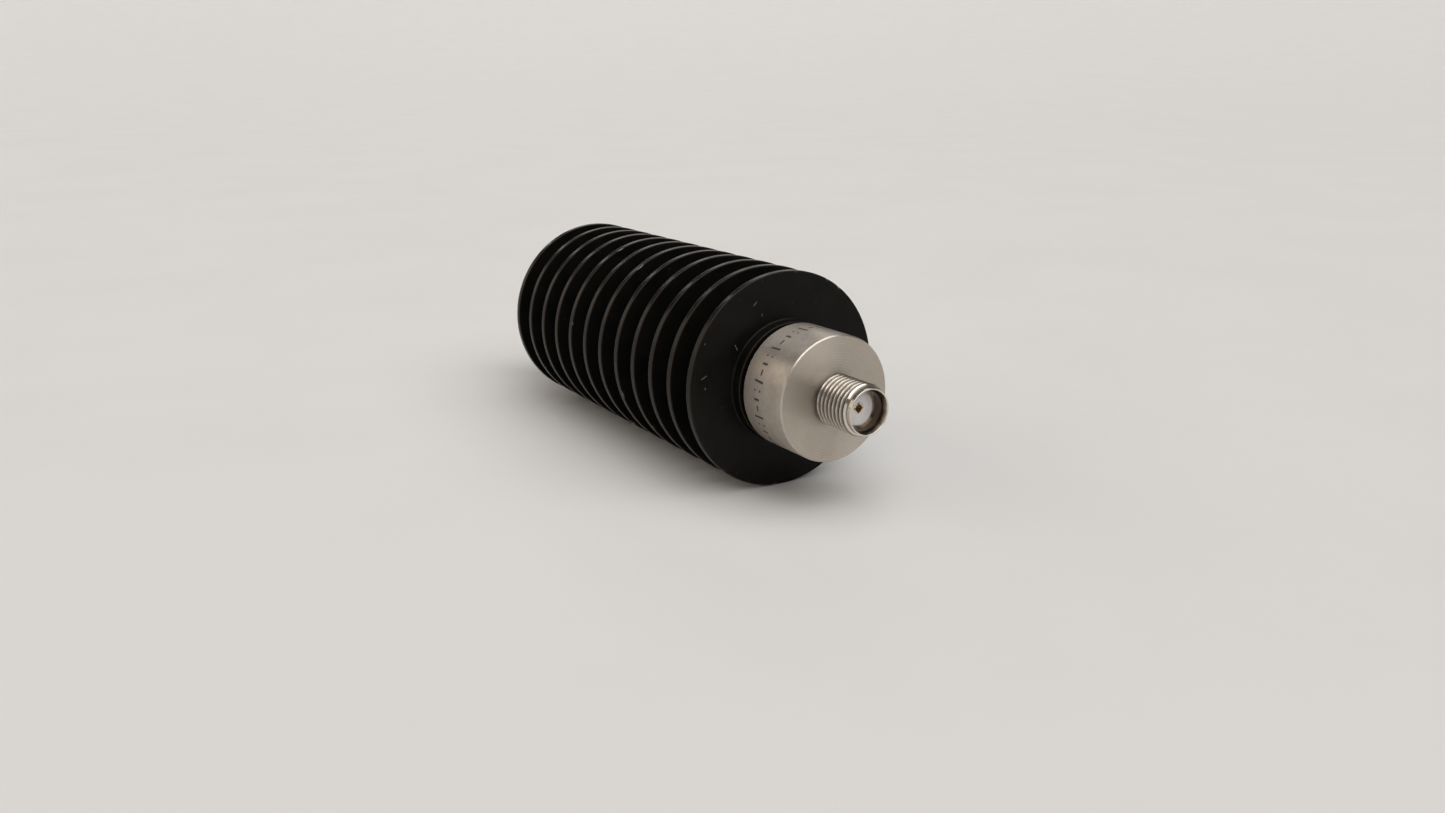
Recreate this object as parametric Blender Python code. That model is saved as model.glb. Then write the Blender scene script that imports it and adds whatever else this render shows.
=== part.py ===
"""Coaxial attenuator: a resistive card in a finned black heat sink, with a threaded socket
connector in front and a plug connector with a turning coupling nut behind.

The common axis lies along X and the socket points to +X. The part lies on its side, so the
lowest edges of the fins touch Z = 0, and the origin is under the middle of its length.
Round pieces are many-sided prisms whose flats, not corners, lie at the stated radius.
"""

import math

import bmesh
import bpy

MM = 0.001

# Fits
SLIDE_FIT = 0.03 * MM  # radial clearance of pieces that slide into each other
FACE_FIT = 0.03 * MM  # gap between two faces that seat on each other
NUT_FIT = 0.08 * MM  # running clearance round the turning nut

# Resistive card and the two half-round blocks that clamp it
CARD_THICKNESS = 0.64 * MM
TAIL_RADIUS = 0.5 * MM  # thin inner end of each contact, which lies on the card
TAIL_LAP = 1.7 * MM  # how far a tail reaches over the card
CLIP_THICKNESS = 0.15 * MM
CLIP_FOOT = 0.4 * MM
CLIP_LENGTH = 1.1 * MM
CLIP_BEND_STEPS = 8
CHANNEL_WIDTH = 3.2 * MM  # air channel over the card's resistive film
CHANNEL_HEIGHT = 2.2 * MM
GROUND_RIB_WIDTH = 1.0 * MM  # rib that presses a ground spring on the card's edge
SPRING_THICKNESS = 0.13 * MM
SPRING_INSET = 1.0 * MM
SPRING_FINGERS = 14
SPRING_GAP_SHARE = 0.2  # gap between two fingers as a share of their pitch
SPRING_SPINE_SHARE = 1 / 3  # whole strip along the comb's back as a share of its width
POCKET_WALL = 0.25 * MM  # between the card's pocket and the screw holes
SCREW_RADIUS = 0.5 * MM
SCREW_HEAD_RADIUS = 0.8 * MM
SCREW_HEAD_HEIGHT = 0.5 * MM
SCREW_HEAD_LEVEL = 0.72 * MM  # height of the head's seat over the common axis
SCREW_DEPTH = 1.6 * MM  # how far the screw reaches below the common axis
SCREW_EDGE = 0.33 * MM  # block left outside a screw's head
SCREW_SLOT_WIDTH = 0.2 * MM
SCREW_SLOT_DEPTH = 0.2 * MM
SCREW_ROWS = 2

# Centre tube and heat sink
TUBE_WALL = 1.35 * MM
SINK_NECK_WALL = 0.9 * MM  # heat sink's thin end, which the connector barrel seats on
SINK_NECK_LENGTH = 0.95 * MM
SINK_COLLAR_STEP = 0.75 * MM
SINK_COLLAR_LENGTH = 1.55 * MM
SINK_ROOT_STEP = 0.35 * MM  # fin roots above the collar
FIN_DIAMETER = 27.4 * MM
FIN_THICKNESS = 0.92 * MM
FIN_PITCH = 4.73 * MM
FIN_COUNT = 12
SEAL_SECTION_RADIUS = 0.48 * MM

# Connector barrels
BARREL_STEP = 0.05 * MM  # barrel above the heat sink's collar
BARREL_LENGTH = 7.9 * MM
BARREL_FRONT_CHAMFER = 0.2 * MM
BARREL_BASE_CHAMFER = 0.1 * MM
SHANK_DEPTH = 6.0 * MM  # how far a connector's shank reaches past the outer fin's face

# Threaded socket in front
SOCKET_BORE = 4.6 * MM
SOCKET_DEPTH = 1.93 * MM
MOUTH_CHAMFER = 0.34 * MM
RIM_WIDTH = 0.16 * MM
PILOT_LENGTH = 0.55 * MM
THREAD_DEPTH = 0.375 * MM
THREAD_PITCH = 0.7056 * MM
THREAD_CREST_SHARE = 0.2  # flat crest as a share of the pitch
NOSE_LENGTH = 6.4 * MM

# Plug, nut, ring and gasket behind
PLUG_CLEARANCE = 0.015 * MM  # plug sleeve in a socket's bore
SLEEVE_WALL = 0.215 * MM
PLUG_NECK_STEP = 0.315 * MM
PLUG_NECK_LENGTH = 2.3 * MM
PLUG_SLEEVE_LENGTH = 2.6 * MM
RING_THICKNESS = 0.5 * MM
RING_DEPTH = 0.4 * MM  # how deep the split ring sits in the plug's neck
RING_REACH = 0.35 * MM  # how far it stands out into the nut
RING_START = 1.2 * MM  # from the barrel's face to the ring's groove
RING_GAP_ANGLE = 40.0
GASKET_WIDTH = 0.72 * MM
GASKET_THICKNESS = 0.7 * MM
NUT_STANDOFF = 0.35 * MM
NUT_WALL = 0.75 * MM
NUT_OVERHANG = 3.15 * MM  # nut past the end of the plug's sleeve
NUT_THREAD_CLEARANCE = 0.05 * MM
NUT_MOUTH_CHAMFER = 0.42 * MM
NUT_CORNER_CHAMFER = 0.35 * MM

# Contacts and their supports
CONTACT_RADIUS = 0.635 * MM
CONTACT_HOLE_RADIUS = 0.465 * MM
CONTACT_HOLE_DEPTH = 2.6 * MM
CONTACT_SLOT_WIDTH = 0.16 * MM
CONTACT_SLOT_DEPTH = 2.2 * MM
CONTACT_FRONT_LENGTH = 4.0 * MM
CONTACT_SHOULDER = 0.2 * MM  # step that holds a contact in its insulator
AIR_STEP = 0.3 * MM  # thick run of a contact in the air line
PIN_RADIUS = 0.46 * MM
PIN_LENGTH = 2.0 * MM
PIN_POINT = 0.35 * MM
PIN_TIP_RADIUS = 0.15 * MM
FLANGE_STEP = 0.53 * MM  # insulator's flange over its run
FLANGE_LENGTH = 1.6 * MM
FLANGE_DEPTH = 2.8 * MM  # flange's outer face below the barrel's face
LOCK_LENGTH = 1.4 * MM
LOCK_WALL = 0.7 * MM
BEAD_LENGTH = 1.5 * MM
BEAD_INSET = 1.5 * MM  # from the bead to the shank's inner end

# Sides of the round pieces, each a multiple of four so that flats face down and sideways
SINK_SIDES = 40
BODY_SIDES = 32
CONTACT_SIDES = 16
SEAL_SECTION_SIDES = 8
SCREW_SIDES = 12
CORNER_SHARE = 1 / math.cos(math.pi / CONTACT_SIDES)  # corner over flat, on the coarsest fit

# Radii from the card outwards
CARD_TOP = -(TAIL_RADIUS + FACE_FIT)
CARD_BOTTOM = CARD_TOP - CARD_THICKNESS
RIB_LEVEL = CARD_TOP + SPRING_THICKNESS + 2 * FACE_FIT
CHANNEL_HALF = CHANNEL_WIDTH / 2
POCKET_HALF = CHANNEL_HALF + GROUND_RIB_WIDTH + SLIDE_FIT
SCREW_HOLE_RADIUS = SCREW_RADIUS + SLIDE_FIT
SCREW_HEAD_HOLE_RADIUS = SCREW_HEAD_RADIUS + SLIDE_FIT
SCREW_OFFSET = POCKET_HALF + POCKET_WALL + SCREW_HOLE_RADIUS
SCREW_HEAD_TOP = SCREW_HEAD_LEVEL + SCREW_HEAD_HEIGHT
BLOCK_RADIUS = SCREW_OFFSET + SCREW_HEAD_HOLE_RADIUS + SCREW_EDGE
TUBE_INNER_RADIUS = BLOCK_RADIUS + SLIDE_FIT
SHANK_RADIUS = TUBE_INNER_RADIUS - SLIDE_FIT
TUBE_OUTER_RADIUS = TUBE_INNER_RADIUS + TUBE_WALL
SINK_BORE_RADIUS = TUBE_OUTER_RADIUS / math.cos(math.pi / BODY_SIDES) + SLIDE_FIT
SINK_NECK_RADIUS = SINK_BORE_RADIUS + SINK_NECK_WALL
SINK_COLLAR_RADIUS = SINK_NECK_RADIUS + SINK_COLLAR_STEP
SINK_ROOT_RADIUS = SINK_COLLAR_RADIUS + SINK_ROOT_STEP
FIN_RADIUS = FIN_DIAMETER / 2
BARREL_RADIUS = SINK_COLLAR_RADIUS + BARREL_STEP

# Radii from the socket's bore, both ways
SOCKET_RADIUS = SOCKET_BORE / 2
MOUTH_RADIUS = SOCKET_RADIUS + MOUTH_CHAMFER
PILOT_RADIUS = MOUTH_RADIUS + RIM_WIDTH
THREAD_RADIUS = PILOT_RADIUS + THREAD_DEPTH
SLEEVE_RADIUS = SOCKET_RADIUS - PLUG_CLEARANCE
LINE_RADIUS = SLEEVE_RADIUS - SLEEVE_WALL
AIR_LINE_RADIUS = LINE_RADIUS + FLANGE_STEP
SHOULDER_RADIUS = CONTACT_RADIUS + CONTACT_SHOULDER
AIR_CONTACT_RADIUS = SHOULDER_RADIUS + AIR_STEP
PLUG_NECK_RADIUS = SLEEVE_RADIUS + PLUG_NECK_STEP
RING_GROOVE_RADIUS = PLUG_NECK_RADIUS - RING_DEPTH - SLIDE_FIT
NUT_LIP_RADIUS = PLUG_NECK_RADIUS / math.cos(math.pi / BODY_SIDES) + NUT_FIT
RING_OUTER_RADIUS = NUT_LIP_RADIUS + RING_REACH
NUT_GROOVE_RADIUS = RING_OUTER_RADIUS / math.cos(math.pi / BODY_SIDES) + NUT_FIT
NUT_THREAD_RADIUS = PILOT_RADIUS + NUT_THREAD_CLEARANCE
GASKET_INNER_RADIUS = SLEEVE_RADIUS + SLIDE_FIT
GASKET_OUTER_RADIUS = GASKET_INNER_RADIUS + GASKET_WIDTH
NUT_CHAMBER_RADIUS = max(GASKET_OUTER_RADIUS / math.cos(math.pi / BODY_SIDES), THREAD_RADIUS) + NUT_FIT
NUT_FLAT_RADIUS = max(NUT_CHAMBER_RADIUS, NUT_GROOVE_RADIUS) + NUT_WALL

# Places along a connector, measured outwards from the outer fin's face at its end
NECK_END = SINK_COLLAR_LENGTH + SINK_NECK_LENGTH
BARREL_BASE = NECK_END + FACE_FIT
BARREL_FACE = BARREL_BASE + BARREL_LENGTH
SHANK_END = -SHANK_DEPTH
BLOCK_END = SHANK_END - FACE_FIT
SEAL_POCKET = 2 * (SEAL_SECTION_RADIUS + FACE_FIT)
TUBE_END = BARREL_BASE - SEAL_POCKET
MOUTH = BARREL_FACE + NOSE_LENGTH
SOCKET_PLANE = MOUTH - SOCKET_DEPTH
PLUG_PLANE = BARREL_FACE + PLUG_NECK_LENGTH + PLUG_SLEEVE_LENGTH
FLANGE_FACE = BARREL_FACE - FLANGE_DEPTH
FLANGE_END = FLANGE_FACE - FACE_FIT - FLANGE_LENGTH
LOCK_END = FLANGE_END - FACE_FIT - LOCK_LENGTH
BEAD_END = SHANK_END + BEAD_INSET
BEAD_FACE = BEAD_END + BEAD_LENGTH
TAIL_START = (BEAD_END + SHANK_END) / 2
TAIL_END = SHANK_END - TAIL_LAP
NUT_START = BARREL_FACE + NUT_STANDOFF
NUT_END = PLUG_PLANE + NUT_OVERHANG
RING_FACE = BARREL_FACE + RING_START
GASKET_FACE = BARREL_FACE + PLUG_NECK_LENGTH + FACE_FIT
GASKET_END = GASKET_FACE + GASKET_THICKNESS

# Places along X
STACK_LENGTH = (FIN_COUNT - 1) * FIN_PITCH + FIN_THICKNESS
REAR_FACE_X = -(STACK_LENGTH + MOUTH + NUT_END) / 2 + NUT_END
FRONT_FACE_X = REAR_FACE_X + STACK_LENGTH
AXIS_HEIGHT = FIN_RADIUS
FRONT = (FRONT_FACE_X, 1)
REAR = (REAR_FACE_X, -1)


def clear_scene():
    for obj in list(bpy.data.objects):
        bpy.data.objects.remove(obj)


def principled(name, color, metallic, roughness):
    """A material with one Principled BSDF of the given colour."""
    material = bpy.data.materials.new(name)
    material.use_nodes = True
    shader = material.node_tree.nodes["Principled BSDF"]
    shader.inputs["Base Color"].default_value = (*color, 1.0)
    shader.inputs["Metallic"].default_value = metallic
    shader.inputs["Roughness"].default_value = roughness
    material.diffuse_color = (*color, 1.0)
    return material


def black_anodised():
    return principled("black_anodised", (0.012, 0.012, 0.013), 0.2, 0.42)


def stainless(name):
    return principled(name, (0.62, 0.58, 0.54), 1.0, 0.28)


def white_fluoropolymer(name):
    return principled(name, (0.86, 0.85, 0.82), 0.0, 0.45)


def gold_plate(name):
    return principled(name, (0.95, 0.70, 0.28), 1.0, 0.22)


def plain_brass(name):
    return principled(name, (0.75, 0.56, 0.28), 1.0, 0.35)


def black_rubber(name):
    return principled(name, (0.02, 0.02, 0.02), 0.0, 0.7)


def red_silicone(name):
    return principled(name, (0.55, 0.10, 0.06), 0.0, 0.6)


def white_ceramic(name):
    return principled(name, (0.88, 0.87, 0.84), 0.0, 0.5)


def object_of(name, bm, material, location, sharp_angle=35.0):
    """Wraps a bmesh in a named object that is shaded smooth up to the given angle."""
    bmesh.ops.recalc_face_normals(bm, faces=bm.faces)
    mesh = bpy.data.meshes.new(name)
    bm.to_mesh(mesh)
    bm.free()
    mesh.shade_smooth()
    mesh.set_sharp_from_angle(angle=math.radians(sharp_angle))
    obj = bpy.data.objects.new(name, mesh)
    obj.location = location
    if material is not None:
        mesh.materials.append(material)
    bpy.context.scene.collection.objects.link(obj)
    return obj


def turned(name, profile, material, end=FRONT, sides=BODY_SIDES, closed=True, location=None):
    """Spins a profile of (distance along the end's direction, radius) points round the X axis.

    A closed profile keeps clear of the axis, and an open one starts and ends on it. The
    corners of the prism stand at radius / cos(pi / sides), so its flats lie at the radius.
    """
    face_x, direction = end
    corner = 1 / math.cos(math.pi / sides)
    phase = math.pi / sides
    bm = bmesh.new()
    verts = [
        bm.verts.new((direction * along, 0.0, 0.0))
        if radius == 0
        else bm.verts.new(
            (
                direction * along,
                radius * corner * math.cos(phase),
                radius * corner * math.sin(phase),
            )
        )
        for along, radius in profile
    ]
    pairs = list(zip(verts, verts[1:] + verts[:1]))
    if not closed:
        pairs.pop()
    edges = [bm.edges.new(pair) for pair in pairs]
    bmesh.ops.spin(
        bm,
        geom=verts + edges,
        cent=(0.0, 0.0, 0.0),
        axis=(1.0, 0.0, 0.0),
        angle=2 * math.pi,
        steps=sides,
    )
    bmesh.ops.remove_doubles(bm, verts=bm.verts, dist=1e-8)
    if location is None:
        location = (face_x, 0.0, AXIS_HEIGHT)
    return object_of(name, bm, material, location)


def extruded(name, outline, depth, material, location, along="X"):
    """Carries a closed outline straight along X, as (y, z) points, or Z, as (x, y) points."""
    bm = bmesh.new()
    if along == "X":
        verts = [bm.verts.new((0.0, first, second)) for first, second in outline]
        push = (depth, 0.0, 0.0)
    else:
        verts = [bm.verts.new((first, second, 0.0)) for first, second in outline]
        push = (0.0, 0.0, depth)
    face = bm.faces.new(verts)
    grown = bmesh.ops.extrude_face_region(bm, geom=[face])
    moved = [item for item in grown["geom"] if isinstance(item, bmesh.types.BMVert)]
    bmesh.ops.translate(bm, verts=moved, vec=push)
    return object_of(name, bm, material, location)


def box(name, low, high, location):
    """A plain box between two local corners, used as a cutter."""
    outline = [(low[1], low[2]), (high[1], low[2]), (high[1], high[2]), (low[1], high[2])]
    obj = extruded(name, outline, high[0] - low[0], None, location)
    for vertex in obj.data.vertices:
        vertex.co.x += low[0]
    return obj


def arc(radius, start, stop, steps):
    """Points of (across, up) on a circle, from one angle in degrees to another."""
    angles = [math.radians(start + (stop - start) * step / steps) for step in range(steps + 1)]
    return [(radius * math.cos(angle), radius * math.sin(angle)) for angle in angles]


def shape_with(target, tool, operation="DIFFERENCE"):
    """Applies a hidden tool to the target with a live Boolean."""
    tool.hide_render = True
    tool.display_type = "WIRE"
    modifier = target.modifiers.new(tool.name, "BOOLEAN")
    modifier.operation = operation
    modifier.solver = "EXACT"
    modifier.object = tool


def make_heat_sink():
    """One turned piece: round fins on a core, with a collar and a thin neck at each end."""
    neck_x = STACK_LENGTH + NECK_END
    collar_x = STACK_LENGTH + SINK_COLLAR_LENGTH
    profile = [
        (neck_x, SINK_BORE_RADIUS),
        (neck_x, SINK_NECK_RADIUS),
        (collar_x, SINK_NECK_RADIUS),
        (collar_x, SINK_COLLAR_RADIUS),
        (STACK_LENGTH, SINK_COLLAR_RADIUS),
    ]
    for fin in range(FIN_COUNT):
        front = STACK_LENGTH - fin * FIN_PITCH
        if fin > 0:
            profile.append((front, SINK_ROOT_RADIUS))
        profile.append((front, FIN_RADIUS))
        profile.append((front - FIN_THICKNESS, FIN_RADIUS))
        if fin < FIN_COUNT - 1:
            profile.append((front - FIN_THICKNESS, SINK_ROOT_RADIUS))
    profile += [
        (0.0, SINK_COLLAR_RADIUS),
        (-SINK_COLLAR_LENGTH, SINK_COLLAR_RADIUS),
        (-SINK_COLLAR_LENGTH, SINK_NECK_RADIUS),
        (-NECK_END, SINK_NECK_RADIUS),
        (-NECK_END, SINK_BORE_RADIUS),
    ]
    along_x = (REAR_FACE_X, 1)
    return turned("heat_sink", profile, black_anodised(), along_x, SINK_SIDES)


def make_centre_tube():
    """Plain tube inside the heat sink that both connectors screw into."""
    profile = [
        (STACK_LENGTH + TUBE_END, TUBE_INNER_RADIUS),
        (STACK_LENGTH + TUBE_END, TUBE_OUTER_RADIUS),
        (-TUBE_END, TUBE_OUTER_RADIUS),
        (-TUBE_END, TUBE_INNER_RADIUS),
    ]
    return turned("centre_tube", profile, plain_brass("tube_brass"), (REAR_FACE_X, 1))


def barrel_outside():
    """Outer points shared by both connectors, from the shank's inner end to the barrel's face."""
    return [
        (SHANK_END, AIR_LINE_RADIUS),
        (SHANK_END, SHANK_RADIUS),
        (BARREL_BASE, SHANK_RADIUS),
        (BARREL_BASE, BARREL_RADIUS - BARREL_BASE_CHAMFER),
        (BARREL_BASE + BARREL_BASE_CHAMFER, BARREL_RADIUS),
        (BARREL_FACE - BARREL_FRONT_CHAMFER, BARREL_RADIUS),
        (BARREL_FACE, BARREL_RADIUS - BARREL_FRONT_CHAMFER),
    ]


def line_inside(plane):
    """Inner points shared by both connectors, from the mating plane back to the flange's seat."""
    return [
        (plane, LINE_RADIUS),
        (FLANGE_FACE, LINE_RADIUS),
        (FLANGE_FACE, AIR_LINE_RADIUS),
    ]


def thread_points():
    """Outer points of the socket's nose: a full shoulder on the barrel's face, then the thread
    as rings with flat crests and sloping flanks, down to the pilot.
    """
    crest = THREAD_CREST_SHARE * THREAD_PITCH
    flank = (THREAD_PITCH - crest) / 2
    end = MOUTH - PILOT_LENGTH - flank
    turns = max(1, int((end - BARREL_FACE) / THREAD_PITCH))
    points = [(BARREL_FACE, THREAD_RADIUS)]
    for turn in range(turns, 0, -1):
        start = end - turn * THREAD_PITCH
        points.append((start, THREAD_RADIUS))
        points.append((start + flank, PILOT_RADIUS))
        points.append((start + 2 * flank, THREAD_RADIUS))
    points.append((end, THREAD_RADIUS))
    points.append((end + flank, PILOT_RADIUS))
    return points


def make_front_body():
    """Steel barrel with a hollow shank and the threaded nose of a socket connector."""
    profile = barrel_outside() + thread_points()
    profile += [
        (MOUTH, PILOT_RADIUS),
        (MOUTH, MOUTH_RADIUS),
        (MOUTH - MOUTH_CHAMFER, SOCKET_RADIUS),
        (SOCKET_PLANE, SOCKET_RADIUS),
    ]
    profile += line_inside(SOCKET_PLANE)
    return turned("front_connector_body", profile, stainless("front_steel"))


def make_rear_body():
    """Steel barrel with a hollow shank, a grooved neck for the nut's ring and a thin sleeve."""
    neck_end = BARREL_FACE + PLUG_NECK_LENGTH
    groove_end = RING_FACE + RING_THICKNESS + 2 * FACE_FIT
    profile = barrel_outside()
    profile += [
        (BARREL_FACE, PLUG_NECK_RADIUS),
        (RING_FACE, PLUG_NECK_RADIUS),
        (RING_FACE, RING_GROOVE_RADIUS),
        (groove_end, RING_GROOVE_RADIUS),
        (groove_end, PLUG_NECK_RADIUS),
        (neck_end, PLUG_NECK_RADIUS),
        (neck_end, SLEEVE_RADIUS),
        (PLUG_PLANE, SLEEVE_RADIUS),
    ]
    profile += line_inside(PLUG_PLANE)
    return turned("rear_connector_body", profile, stainless("rear_steel"), REAR)


def make_insulator(name, end, plane):
    """White sleeve that holds a contact, with a flange caught between the seat and lock ring."""
    outer_face = plane - FACE_FIT
    flange_face = FLANGE_FACE - FACE_FIT
    step = plane - CONTACT_FRONT_LENGTH
    profile = [
        (outer_face, CONTACT_RADIUS * CORNER_SHARE + SLIDE_FIT),
        (outer_face, LINE_RADIUS - SLIDE_FIT),
        (flange_face, LINE_RADIUS - SLIDE_FIT),
        (flange_face, AIR_LINE_RADIUS - SLIDE_FIT),
        (FLANGE_END, AIR_LINE_RADIUS - SLIDE_FIT),
        (FLANGE_END, SHOULDER_RADIUS * CORNER_SHARE + SLIDE_FIT),
        (step, SHOULDER_RADIUS * CORNER_SHARE + SLIDE_FIT),
        (step, CONTACT_RADIUS * CORNER_SHARE + SLIDE_FIT),
    ]
    return turned(name, profile, white_fluoropolymer(name), end)


def make_lock_ring(name, end):
    """Plain ring behind the insulator's flange."""
    start = FLANGE_END - FACE_FIT
    outer = AIR_LINE_RADIUS - SLIDE_FIT
    profile = [
        (start, outer - LOCK_WALL),
        (start, outer),
        (LOCK_END, outer),
        (LOCK_END, outer - LOCK_WALL),
    ]
    return turned(name, profile, plain_brass(name), end)


def make_bead(name, end):
    """White disc that centres a contact near the inner end of its air line."""
    hole = SHOULDER_RADIUS * CORNER_SHARE + SLIDE_FIT
    profile = [
        (BEAD_FACE, hole),
        (BEAD_FACE, AIR_LINE_RADIUS - SLIDE_FIT),
        (BEAD_END, AIR_LINE_RADIUS - SLIDE_FIT),
        (BEAD_END, hole),
    ]
    return turned(name, profile, white_fluoropolymer(name), end)


def contact_back(plane):
    """Inner run shared by both contacts, from the shoulder in the insulator to the tail."""
    step = plane - CONTACT_FRONT_LENGTH - FACE_FIT
    air_start = LOCK_END - FACE_FIT
    bead_face = BEAD_FACE + FACE_FIT
    return [
        (step, CONTACT_RADIUS),
        (step, SHOULDER_RADIUS),
        (air_start, SHOULDER_RADIUS),
        (air_start, AIR_CONTACT_RADIUS),
        (bead_face, AIR_CONTACT_RADIUS),
        (bead_face, SHOULDER_RADIUS),
        (TAIL_START, SHOULDER_RADIUS),
        (TAIL_START, TAIL_RADIUS / CORNER_SHARE),
        (TAIL_END, TAIL_RADIUS / CORNER_SHARE),
        (TAIL_END, 0.0),
    ]


def make_front_contact():
    """Slotted socket contact, level with its insulator, whose tail lies on the card."""
    tip = SOCKET_PLANE - FACE_FIT
    hole_end = tip - CONTACT_HOLE_DEPTH
    profile = [
        (hole_end, 0.0),
        (hole_end, CONTACT_HOLE_RADIUS),
        (tip, CONTACT_HOLE_RADIUS),
        (tip, CONTACT_RADIUS),
    ]
    profile += contact_back(SOCKET_PLANE)
    contact = turned(
        "front_contact", profile, gold_plate("front_gold"), sides=CONTACT_SIDES, closed=False
    )
    reach = 2 * CONTACT_RADIUS
    half = CONTACT_SLOT_WIDTH / 2
    low_x = tip - CONTACT_SLOT_DEPTH
    high_x = tip + reach
    upright = box("upright_slot", (low_x, -half, -reach), (high_x, half, reach), contact.location)
    level = box("level_slot", (low_x, -reach, -half), (high_x, reach, half), contact.location)
    shape_with(contact, upright)
    shape_with(contact, level)
    return contact


def make_rear_contact():
    """Pointed pin contact that stands out of the plug, whose tail lies on the card."""
    point = PLUG_PLANE + PIN_LENGTH
    profile = [
        (point, 0.0),
        (point, PIN_TIP_RADIUS),
        (point - PIN_POINT, PIN_RADIUS),
        (PLUG_PLANE - FACE_FIT, PIN_RADIUS),
        (PLUG_PLANE - FACE_FIT, CONTACT_RADIUS),
    ]
    profile += contact_back(PLUG_PLANE)
    return turned("rear_contact", profile, gold_plate("rear_gold"), REAR, CONTACT_SIDES, closed=False)


def make_seal_ring(name, end):
    """Round-section rubber ring on the shank, between the tube's end and the barrel."""
    middle = BARREL_BASE - FACE_FIT - SEAL_SECTION_RADIUS
    centre_radius = SHANK_RADIUS + SLIDE_FIT + SEAL_SECTION_RADIUS
    section = arc(SEAL_SECTION_RADIUS, 0, 360, SEAL_SECTION_SIDES)[:-1]
    profile = [(middle + along, centre_radius + out) for along, out in section]
    return turned(name, profile, black_rubber(name), end)


def make_coupling_nut():
    """Hexagon nut with a lip and groove for the split ring, a gasket chamber and a thread bore."""
    length = NUT_END - NUT_START
    corner_radius = NUT_FLAT_RADIUS / math.cos(math.pi / 6)
    hexagon = arc(corner_radius, 0, 300, 5)
    nut = extruded("coupling_nut", hexagon, -length, stainless("nut_steel"), (0.0, 0.0, 0.0))
    nut.location = (REAR_FACE_X - NUT_START, 0.0, AXIS_HEIGHT)

    rounding_radius = corner_radius * math.cos(math.pi / BODY_SIDES) + FACE_FIT
    rounding = turned(
        "nut_rounding",
        [
            (0.0, 0.0),
            (0.0, corner_radius - NUT_CORNER_CHAMFER),
            (NUT_CORNER_CHAMFER, rounding_radius),
            (length - NUT_CORNER_CHAMFER, rounding_radius),
            (length, corner_radius - NUT_CORNER_CHAMFER),
            (length, 0.0),
        ],
        None,
        (0.0, -1),
        closed=False,
        location=nut.location,
    )
    shape_with(nut, rounding, "INTERSECT")

    groove_start = RING_FACE - FACE_FIT - NUT_START
    groove_end = RING_FACE + RING_THICKNESS + 3 * FACE_FIT - NUT_START
    chamber_start = max(BARREL_FACE + PLUG_NECK_LENGTH - NUT_FIT - NUT_START, groove_end + NUT_FIT)
    thread_start = GASKET_END + NUT_FIT - NUT_START
    hollow = turned(
        "nut_hollow",
        [
            (-NUT_STANDOFF, 0.0),
            (-NUT_STANDOFF, NUT_LIP_RADIUS),
            (groove_start, NUT_LIP_RADIUS),
            (groove_start, NUT_GROOVE_RADIUS),
            (groove_end, NUT_GROOVE_RADIUS),
            (groove_end, NUT_LIP_RADIUS),
            (chamber_start, NUT_LIP_RADIUS),
            (chamber_start, NUT_CHAMBER_RADIUS),
            (thread_start, NUT_CHAMBER_RADIUS),
            (thread_start, NUT_THREAD_RADIUS),
            (length - NUT_MOUTH_CHAMFER, NUT_THREAD_RADIUS),
            (length + NUT_MOUTH_CHAMFER, NUT_THREAD_RADIUS + 2 * NUT_MOUTH_CHAMFER),
            (length + NUT_MOUTH_CHAMFER, 0.0),
        ],
        None,
        (0.0, -1),
        closed=False,
        location=nut.location,
    )
    shape_with(nut, hollow)
    return nut


def make_retaining_ring():
    """Flat split ring, half in the plug's groove and half in the nut's."""
    half_gap = RING_GAP_ANGLE / 2
    inner = RING_GROOVE_RADIUS / math.cos(math.pi / BODY_SIDES) + SLIDE_FIT
    outline = arc(RING_OUTER_RADIUS, 90 + half_gap, 450 - half_gap, BODY_SIDES)
    outline += arc(inner, 450 - half_gap, 90 + half_gap, BODY_SIDES)
    start_x = REAR_FACE_X - RING_FACE - FACE_FIT
    return extruded(
        "nut_retaining_ring",
        outline,
        -RING_THICKNESS,
        gold_plate("ring_bronze"),
        (start_x, 0.0, AXIS_HEIGHT),
    )


def make_gasket():
    """Flat rubber ring round the plug's sleeve that the socket's mouth presses on."""
    profile = [
        (GASKET_FACE, GASKET_INNER_RADIUS),
        (GASKET_FACE, GASKET_OUTER_RADIUS),
        (GASKET_END, GASKET_OUTER_RADIUS),
        (GASKET_END, GASKET_INNER_RADIUS),
    ]
    return turned("coupling_gasket", profile, red_silicone("gasket_rubber"), REAR)


def block_location():
    return (REAR_FACE_X - BLOCK_END, 0.0, AXIS_HEIGHT)


def block_length():
    return STACK_LENGTH + 2 * BLOCK_END


def make_upper_block():
    """Upper half-round block with an air channel and two ribs over the card's edges."""
    split = FACE_FIT / 2
    edge = math.degrees(math.asin(split / BLOCK_RADIUS))
    rib = POCKET_HALF - 2 * SLIDE_FIT
    outline = arc(BLOCK_RADIUS, edge, 180 - edge, BODY_SIDES // 2)
    outline += [
        (-rib, split),
        (-rib, RIB_LEVEL),
        (-CHANNEL_HALF, RIB_LEVEL),
        (-CHANNEL_HALF, CHANNEL_HEIGHT),
        (CHANNEL_HALF, CHANNEL_HEIGHT),
        (CHANNEL_HALF, RIB_LEVEL),
        (rib, RIB_LEVEL),
        (rib, split),
    ]
    return extruded("upper_block", outline, block_length(), plain_brass("block_plate"), block_location())


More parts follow.
